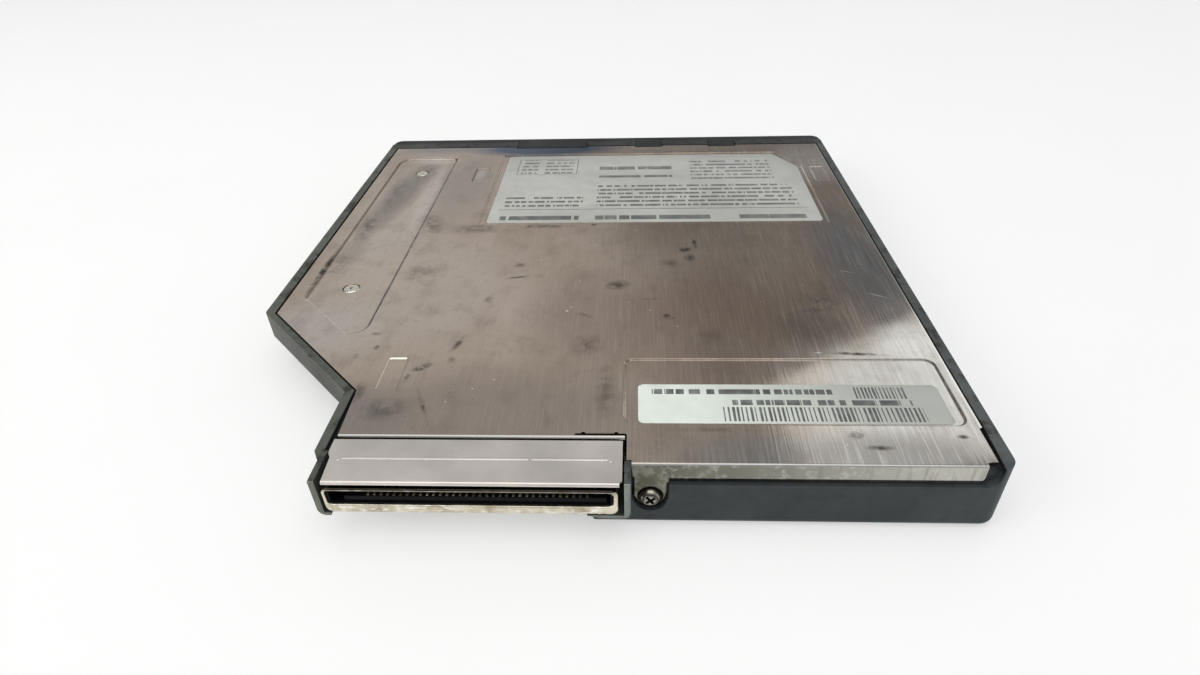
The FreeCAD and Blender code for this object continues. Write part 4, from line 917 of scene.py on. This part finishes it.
def top_cover():
    """One sheet: the flat top with its pressings, and the flange and the fold at its rear."""
    form = Form("top_cover_sheet")
    edge = form.flat(cover_outline())
    tops = []
    for outline, *pressing in PRESSINGS:
        top, floor = pressed(form, outline, *pressing)
        tops.append(top)
        holes = COVER_SCREWS if outline is STRIP else []
        form.fill(floor, *[form.flat(circle(x, y, 1.82), RECESS_TOP) for x, y in holes])
    form.fill(edge, *tops)
    bend_y = FLANGE_Y + BEND_R
    bent(form, [(FLANGE_LEFT, bend_y), (FLANGE_RIGHT, bend_y)], BEND_R, 0)
    flange_face(form, COVER_TOP - BEND_R)
    bent(form, [(26.7, FOLD_Y), (64.2, FOLD_Y), (72, FOLD_Y)], FOLD_R, 0.75)
    mesh = form.done(up=True)
    # the brushing runs along y, and on down the bends at the rear
    unrolled = mesh.uv_layers.new(name="brushing")
    for spot in mesh.loops:
        place = mesh.vertices[spot.vertex_index].co
        unrolled.data[spot.index].uv = (place.x * 10, (place.y + place.z) * 10)
    cover = piece("top_cover_sheet", mesh, "cover_steel", "top_cover")
    thicken(cover, SHEET_T, 0.07, 2)


# ---------------------------------------------------------------- the rear connector

SHIELD_NEAR = -3.5
BEAD_RISE = 0.09
SLEEVE_NEAR = -3.2
SLEEVE_FAR = 3
ROLL_STEPS = 8


def connector_shield():
    form = Form("connector_shield_sheet")
    near = SHIELD_NEAR + BEND_R
    outline = [(27.4, near), (71.3, near), (71.7, near + 0.3), (71.7, 5.6), (26.5, 5.6),
               (26.5, 2.6), (27.1, 1.6)]
    form.fill(form.flat(outline))
    bent(form, outline[:2], BEND_R, 0.15)
    shield = piece("connector_shield_sheet", form.done(up=True), "shield_steel",
                   "connector_shield")
    thicken(shield, SHIELD_T, 0.14, 3)


def shield_beads():
    """The shield's embossed line: two long half-round beads and a dot at either end."""
    form = Form("connector_shield_beads")
    for left, right, y, half in ((29.3, 57.4, 1.6, 0.34), (58.3, 69.3, 1.6, 0.32),
                                 (28.5, 28.6, 1.2, 0.24), (69.9, 70, 1.2, 0.22)):
        corners = [(left - half, y - half, half), (right + half, y - half, half),
                   (right + half, y + half, half), (left - half, y + half, half)]
        loops = []
        for step in range(5):
            angle = math.pi / 2 * step / 5
            plan = rounded(corners, half * (1 - math.cos(angle)), 4)
            loops.append(form.flat(plan, COVER_TOP - 0.01 + BEAD_RISE * math.sin(angle)))
        form.skin(loops)
        form.cap(loops[0], loops[-1])
    piece("connector_shield_beads", form.done(), "shield_steel")


def connector_shell():
    """The plated sleeve round the contacts, rolled at its front, with two grounding fingers."""
    form = Form("connector_shell_sleeve")
    outside = rounded([(26.9, 6, 1.1), (71.1, 6, 1.1), (71.1, 11.2, 1.1), (26.9, 11.2, 1.1)])
    inside = rounded([(27.4, 7.6, 0.6), (70.4, 7.6, 0.9), (70.4, 10.6, 0.9), (27.4, 10.6, 0.6)])
    rows = [(0, SLEEVE_FAR)]
    for step in range(ROLL_STEPS + 1):
        angle = math.pi * step / ROLL_STEPS
        rows.append(((1 - math.cos(angle)) / 2, SLEEVE_NEAR - 0.3 * math.sin(angle)))
    rows.append((1, SLEEVE_FAR))
    loops = [form.loop([(ox + (ix - ox) * share, y, oz + (iz - oz) * share)
                        for (ox, oz), (ix, iz) in zip(outside, inside)]) for share, y in rows]
    form.skin(loops + loops[:1])
    for left in (29.2, 66.8):
        finger = [form.loop([(left + low, y, z), (left + high, y, z),
                             (left + high, y + 0.2, z + 0.05), (left + low, y + 0.2, z + 0.05)])
                  for low, high, y, z in ((0.15, 0.6, -1.5, 11.1), (0.15, 0.6, -2.7, 11.3),
                                          (0, 0.8, -3, 11.85))]
        form.skin(finger)
        form.cap(finger[0], finger[-1])
    piece("connector_shell_sleeve", form.done(), "shell_plate", "connector_shell")


# ---------------------------------------------------------------- repeated pieces

class Graph(Wiring):
    """A geometry node tree with named inputs, built a node at a time."""

    def __init__(self, name, inputs):
        super().__init__(bpy.data.node_groups.new(name, "GeometryNodeTree"))
        self.sockets = {}
        for label, kind, start in inputs:
            socket = self.tree.interface.new_socket(label, in_out="INPUT",
                                                    socket_type="NodeSocket" + kind)
            if start is not None:
                socket.default_value = start
            self.sockets[label] = socket.identifier
        self.tree.interface.new_socket("Geometry", in_out="OUTPUT",
                                       socket_type="NodeSocketGeometry")
        self.entry = self.tree.nodes.new("NodeGroupInput")
        self.exit = self.tree.nodes.new("NodeGroupOutput")

    def value(self, label):
        return self.entry.outputs[label]

    def step(self, kind, inputs=(), **settings):
        return self.node(kind, inputs, "Geometry", **settings)

    def finish(self, geometry):
        real = self.step("RealizeInstances", {"Geometry": geometry})
        coated = self.step("SetMaterial", {"Geometry": real, "Material": self.value("Finish")})
        self.feed(self.exit.inputs[0], coated)

    def grown(self, name, points, **inputs):
        """Runs the tree on a mesh of points and returns the plain mesh that it makes."""
        seed = bpy.data.meshes.new(name + "_points")
        seed.from_pydata([at(*point) for point in points], [], [])
        holder = added(name + "_seed", seed)
        grow = holder.modifiers.new("grow", "NODES")
        grow.node_group = self.tree
        for label, setting in inputs.items():
            grow[self.sockets[label]] = setting
        mesh = with_modifiers(holder)
        mesh.name = name
        holder.modifiers.remove(grow)
        bpy.data.objects.remove(holder)
        return mesh


def contact_row_tree():
    """One bent contact from its tip to its tail, repeated along x at an even pitch."""
    graph = Graph("contact_row", [
        ("Geometry", "Geometry", None), ("Count", "Int", 34), ("Pitch", "Float", MM),
        ("Width", "Float", 0.38 * MM), ("Thickness", "Float", 0.24 * MM),
        ("Tip", "Vector", (0, 0, 0)), ("Corner", "Vector", (0, 0, 0)),
        ("Tail", "Vector", (0, 0, 0)), ("Finish", "Material", None)])
    spine = graph.step("CurvePrimitiveBezierSegment", {
        "Resolution": 10, "Start": graph.value("Tip"), "Start Handle": graph.value("Corner"),
        "End Handle": graph.value("Corner"), "End": graph.value("Tail")})
    section = graph.step("CurvePrimitiveQuadrilateral", {
        "Width": graph.value("Width"), "Height": graph.value("Thickness")})
    rounded_section = graph.step("FilletCurve", {"Curve": section, "Radius": 0.06 * MM})
    pin = graph.step("CurveToMesh", {
        "Curve": spine, "Profile Curve": rounded_section, "Fill Caps": True})
    pitch = graph.node("CombineXYZ", {"X": graph.value("Pitch")})
    row = graph.step("MeshLine", {"Count": graph.value("Count"), "Offset": pitch}, mode="OFFSET")
    graph.finish(graph.step("InstanceOnPoints", {"Points": row, "Instance": pin}))
    return graph


def contact_pins():
    graph = contact_row_tree()
    first_x = 33.49
    form = bmesh.new()
    for name, z, bend_y in (("upper", 8.95, 8.68), ("lower", 8.05, 8.02)):
        form.from_mesh(graph.grown(
            "contacts_" + name, [(0, 0, 0)], Tip=at(first_x, -2.6, z),
            Corner=at(first_x, bend_y, z), Tail=at(first_x, bend_y, 3.2),
            Finish=SLOT_FINISHES["contact_gold"]))
    mesh = mesh_from(form, "contact_pin_rows")
    smooth(mesh)
    piece("contact_pin_rows", mesh, "contact_gold", "contact_pins")


def repeat_tree():
    """Puts one shape at every point of a mesh, each turned further than the last."""
    graph = Graph("repeat_on_points", [
        ("Geometry", "Geometry", None), ("Shape", "Object", None), ("Turn", "Float", 0.0),
        ("Finish", "Material", None)])
    shape = graph.step("ObjectInfo", {"Object": graph.value("Shape")})
    turn = graph.node("Math", (graph.step("InputIndex"), graph.value("Turn")),
                      operation="MULTIPLY")
    graph.finish(graph.step("InstanceOnPoints", {
        "Points": graph.value("Geometry"), "Instance": shape.outputs["Geometry"],
        "Rotation": graph.node("CombineXYZ", {"Z": turn})}))
    return graph


def lathe(form, profile, count, unit):
    """Turns (radius, height) points about z into a skin, and returns its first ring."""
    rows = [[form.verts.new((x * unit, y * unit, height * unit))
             for x, y in circle(0, 0, radius, count if radius else 1)]
            for radius, height in profile]
    skin(form, rows)
    return rows[0]


def turned_form(name, profile):
    form = bmesh.new()
    lathe(form, profile, 48, MM)
    bmesh.ops.recalc_face_normals(form, faces=form.faces)
    return mesh_from(form, name)


def cross_cutter(name, reach, width, top, depth):
    """A driver's cross-shaped tip that narrows as it goes down."""
    form = bmesh.new()
    rows = []
    for height, long, half in ((top, reach, width), (top - depth, reach * 0.55, width * 0.7)):
        plan = [(long, -half), (long, half), (half, half), (half, long), (-half, long),
                (-half, half), (-long, half), (-long, -half), (-half, -half), (-half, -long),
                (half, -long), (half, -half)]
        rows.append([form.verts.new((x * MM, y * MM, height * MM)) for x, y in plan])
        form.faces.new(rows[-1])
    skin(form, rows)
    bmesh.ops.recalc_face_normals(form, faces=form.faces)
    return mesh_from(form, name)


def screw_shape(name, profile, reach, width, top, depth):
    """A turned screw with its driver's cross cut out and painted dark as shade, as an object to
    repeat.
    """
    blank = added(name, turned_form(name + "_turned", profile))
    tool = added(name + "_tool",
                 cross_cutter(name + "_cross", reach, width, top + 0.2, depth + 0.2))
    cut = blank.modifiers.new("cross", "BOOLEAN")
    cut.operation = "DIFFERENCE"
    cut.solver = "EXACT"
    cut.object = tool
    edge = blank.modifiers.new("edge", "BEVEL")
    edge.width = 0.04 * MM
    edge.segments = 2
    edge.angle_limit = math.radians(35)
    mesh = with_modifiers(blank)
    for thing in (blank, tool):
        bpy.data.objects.remove(thing)
    smooth(mesh)
    mark_painted_shade(mesh, lambda place: place.xy.length < reach * 1.02 and place.z < top - 0.14)
    return added(name, mesh)


def screws():
    graph = repeat_tree()
    steel = SLOT_FINISHES["screw_steel"]
    flat = screw_shape("flat_screw", [(0, 0.1), (0.9, 0.09), (1.3, 0.04), (1.62, -0.1),
                                      (1.7, -0.2), (0.75, -0.6), (0.7, -0.8), (0.7, -5.3),
                                      (0.5, -5.55), (0, -5.55)], 0.62, 0.17, 0.1, 0.4)
    mesh = graph.grown("cover_screw_pair", [(x, y, RECESS_TOP) for x, y in COVER_SCREWS],
                       Shape=flat, Turn=0.6, Finish=steel)
    piece("cover_screw_pair", mesh, "screw_steel", "cover_screws")
    sunk = screw_shape("sunk_screw", [(0, 0), (1.75, 0), (1.96, 0.05), (2, 0.12), (0.95, 0.6),
                                      (0.9, 0.8), (0.9, 2), (0.8, 2.1), (0, 2.1)],
                       0.95, 0.2, -0.4, -0.4)
    mesh = graph.grown("chassis_screw_set", [(36, 34, 0.05), (118, 34, 0.05), (50, 126, 0.05),
                                             (104, 126, 0.05)], Shape=sunk, Turn=0.8, Finish=steel)
    piece("chassis_screw_set", mesh, "screw_steel", "chassis_screws")
    pan = screw_shape("pan_screw", [(0, 1.1), (0.7, 1.06), (1.15, 0.92), (1.45, 0.68), (1.6, 0.35),
                                    (1.62, 0), (1.55, -0.18), (0.8, -0.18), (0.8, -5.8), (0.6, -6),
                                    (0, -6)], 1.15, 0.28, 1.1, 0.85)
    pan.data.transform(Matrix.Translation(at(SCREW_X, FLANGE_Y, SCREW_Z))
                       @ Matrix.Rotation(math.radians(90), 4, "X")
                       @ Matrix.Rotation(math.radians(38), 4, "Z"))
    piece("rear_pan_screw", pan.data, "screw_steel", "rear_screw", finishes=[rear_screw_steel])
    for shape in (flat, sunk, pan):
        bpy.data.objects.remove(shape)


# ---------------------------------------------------------------- putting it together

MOULDINGS = [
    # CAD node, name, slot, finishes other than the slot's, body, broken edge, level painted near
    # black as shade
    ("housing_tray", "housing_moulding", "case_plastic", case_finishes, "case", 0.24, LEDGE_TOP),
    ("front_bezel", "bezel_moulding", "case_plastic", bezel_finishes, "case", 0.2, None),
    ("eject_button", "button_moulding", "case_plastic", bezel_finishes, "eject_slider", 0.12,
     None),
    ("slot_door", "door_moulding", "case_plastic", bezel_finishes, "door", 0.06, None),
    ("led_lens", "lamp_lens", "lens_green", None, "case", 0.1, None),
    ("connector_body", "socket_moulding", "socket_black", None, "case", 0.08, None),
]
MAIN_LABEL = [(37.6, 81, 1), (118.5, 81, 1), (118.5, 114.5, 0.4), (113, 124.2, 0.4),
              (37.6, 124.2, 1)]
SERIAL_LABEL = [(74.1, 9.9, 1), (123.6, 9.9, 1), (123.6, 19.6, 1), (74.1, 19.6, 1)]


def label(name, corners, finish, node):
    """A paper label: rounded corners, and an edge that thins down to the metal."""
    form = Form(name)
    rows = [form.flat(rounded(corners, inset), RECESS_TOP + PAPER_T * height)
            for inset, height in ((0, 0), (0, 0.6), (0.05, 1))]
    form.skin(rows)
    form.cap(rows[0], rows[-1])
    piece(name, form.done(), "label_paper", node, finishes=[finish])


def dress_frame():
    """Every CAD node gets its slot's finish, also where a piece stands for it."""
    for part in frame["record"]["subparts"]:
        node = frame["nodes"][part["node"]]
        finish = SLOT_FINISHES.get(part["material_slot"], main_print)
        node.data.materials.clear()
        node.data.materials.append(finish)


def drive():
    for moulding in MOULDINGS:
        moulded_piece(*moulding)
    top_cover()
    connector_shield()
    shield_beads()
    connector_shell()
    contact_pins()
    screws()
    label("main_label_sheet", MAIN_LABEL, main_print, "main_label")
    label("serial_label_sheet", SERIAL_LABEL, serial_print, "serial_label")


# ---------------------------------------------------------------- studio, in metres

ROOM_PATCHES = [
    # azimuth, height, spread in degrees, how much brighter
    (15, 29, 16, 0.66),
    (-24, 34, 28, 1.35),
    (2, 17, 13, 0.66),
]
FLOOR_PROFILE = [(1.2, -0.0001), (1.4, 0.01), (1.5, 0.06), (1.53, 0.15), (1.54, 0.42)]
SOFTBOXES = [
    # name, azimuth, height, distance, width, depth, roll, power, colour
    ("window_softbox", 33.06, 34.7, 2.5, 1.3, 0.53, 46.68, 1.9, (0.98, 1, 0.99)),
    ("overhead_softbox", 180, 80, 1.1, 1.2, 1.2, 0, 5.8, (1, 0.99, 0.97)),
    ("side_softbox", -118, 32, 0.9, 0.6, 0.4, 0, 2.4, (1, 1, 0.93)),
    ("near_softbox", 165, 40, 0.9, 0.8, 0.5, 0, 0.6, (0.96, 0.98, 1)),
]
LENS_MM = 21.2215
CAMERA_PLACE = (0.008764, -0.140984, 0.088853)
CAMERA_TURNS = [(3.28, "Z"), (54.48, "X"), (-1.93, "Z")]


def aimed(azimuth, height):
    """A direction from the object: azimuth from +y towards +x, and height, in degrees."""
    turn = math.radians(azimuth)
    lift = math.radians(height)
    return Vector((math.sin(turn) * math.cos(lift), math.cos(turn) * math.cos(lift),
                   math.sin(lift)))


def studio_world():
    """Even light from all round, with two greyer parts of the room and a brighter one."""
    world = bpy.data.worlds.new("studio")
    world.use_nodes = True
    wiring = Wiring(world.node_tree)
    direction = wiring.node("TexCoord").outputs["Generated"]
    strength = 0.5
    for azimuth, height, spread, change in ROOM_PATCHES:
        facing = wiring.pattern("VectorMath", (direction, aimed(azimuth, height)), "Value",
                                operation="DOT_PRODUCT")
        edge = math.cos(math.radians(spread))
        middle = math.cos(math.radians(spread / 4))
        strength = facing.level(edge, middle, 1, change,
                                interpolation_type="SMOOTHSTEP") * strength
    sky = wiring.tree.nodes["Background"]
    wiring.feed(sky.inputs["Color"], (0.98, 0.99, 1))
    wiring.feed(sky.inputs["Strength"], strength)
    return world


def white_when_seen(name, colour):
    """A pale matt surface that takes shadows and looks near white itself and in reflections."""
    finish = Finish(name, colour, 0.9)
    clouds = finish.grain(60, 2).level(0.3, 0.7)
    finish.surface(Base_Color=finish.mix(clouds, shade(colour, 0.99), shade(colour, 1.01)))
    path = finish.node("LightPath")
    seen = strongest(Pattern(finish, path.outputs["Is " + ray + " Ray"])
                     for ray in ("Camera", "Glossy", "Transmission"))
    both = finish.node("MixShader", (seen * 0.45, finish.shader, finish.node("Emission")))
    finish.feed(finish.tree.nodes["Material Output"].inputs["Surface"], both)
    return finish.material


def backdrop():
    """A pale round floor that turns up into a low wall all round, far from the object."""
    form = bmesh.new()
    form.faces.new(lathe(form, FLOOR_PROFILE, 64, 1))
    mesh = mesh_from(form, "floor")
    smooth(mesh, 60)
    mesh.materials.append(white_when_seen("pale_floor", (0.9, 0.9, 0.9)))
    floor = added("floor", mesh)


def softbox(name, azimuth, height, distance, width, depth, roll, power, colour):
    lamp = bpy.data.lights.new(name, "AREA")
    lamp.shape = "RECTANGLE"
    lamp.size = width
    lamp.size_y = depth
    lamp.energy = power
    lamp.color = colour
    stand = added(name, lamp)
    stand.location = aimed(azimuth, height) * distance
    rolled = Matrix.Rotation(math.radians(roll), 4, "Z")
    facing_object = stand.location.to_track_quat("Z", "Y").to_matrix().to_4x4()
    stand.rotation_euler = (facing_object @ rolled).to_euler()


def camera():
    lens = bpy.data.cameras.new("camera")
    lens.lens = LENS_MM
    lens.sensor_width = 36
    lens.clip_start = 0.005
    made = added("camera", lens)
    place = Matrix.Translation(CAMERA_PLACE)
    for degrees, axis in CAMERA_TURNS:
        place = place @ Matrix.Rotation(math.radians(degrees), 4, axis)
    made.matrix_world = place
    return made


def studio():
    scene = bpy.context.scene
    scene.view_settings.view_transform = "Standard"
    scene.world = studio_world()
    backdrop()
    for box in SOFTBOXES:
        softbox(*box)
    scene.camera = camera()


dress_frame()
drive()
studio()
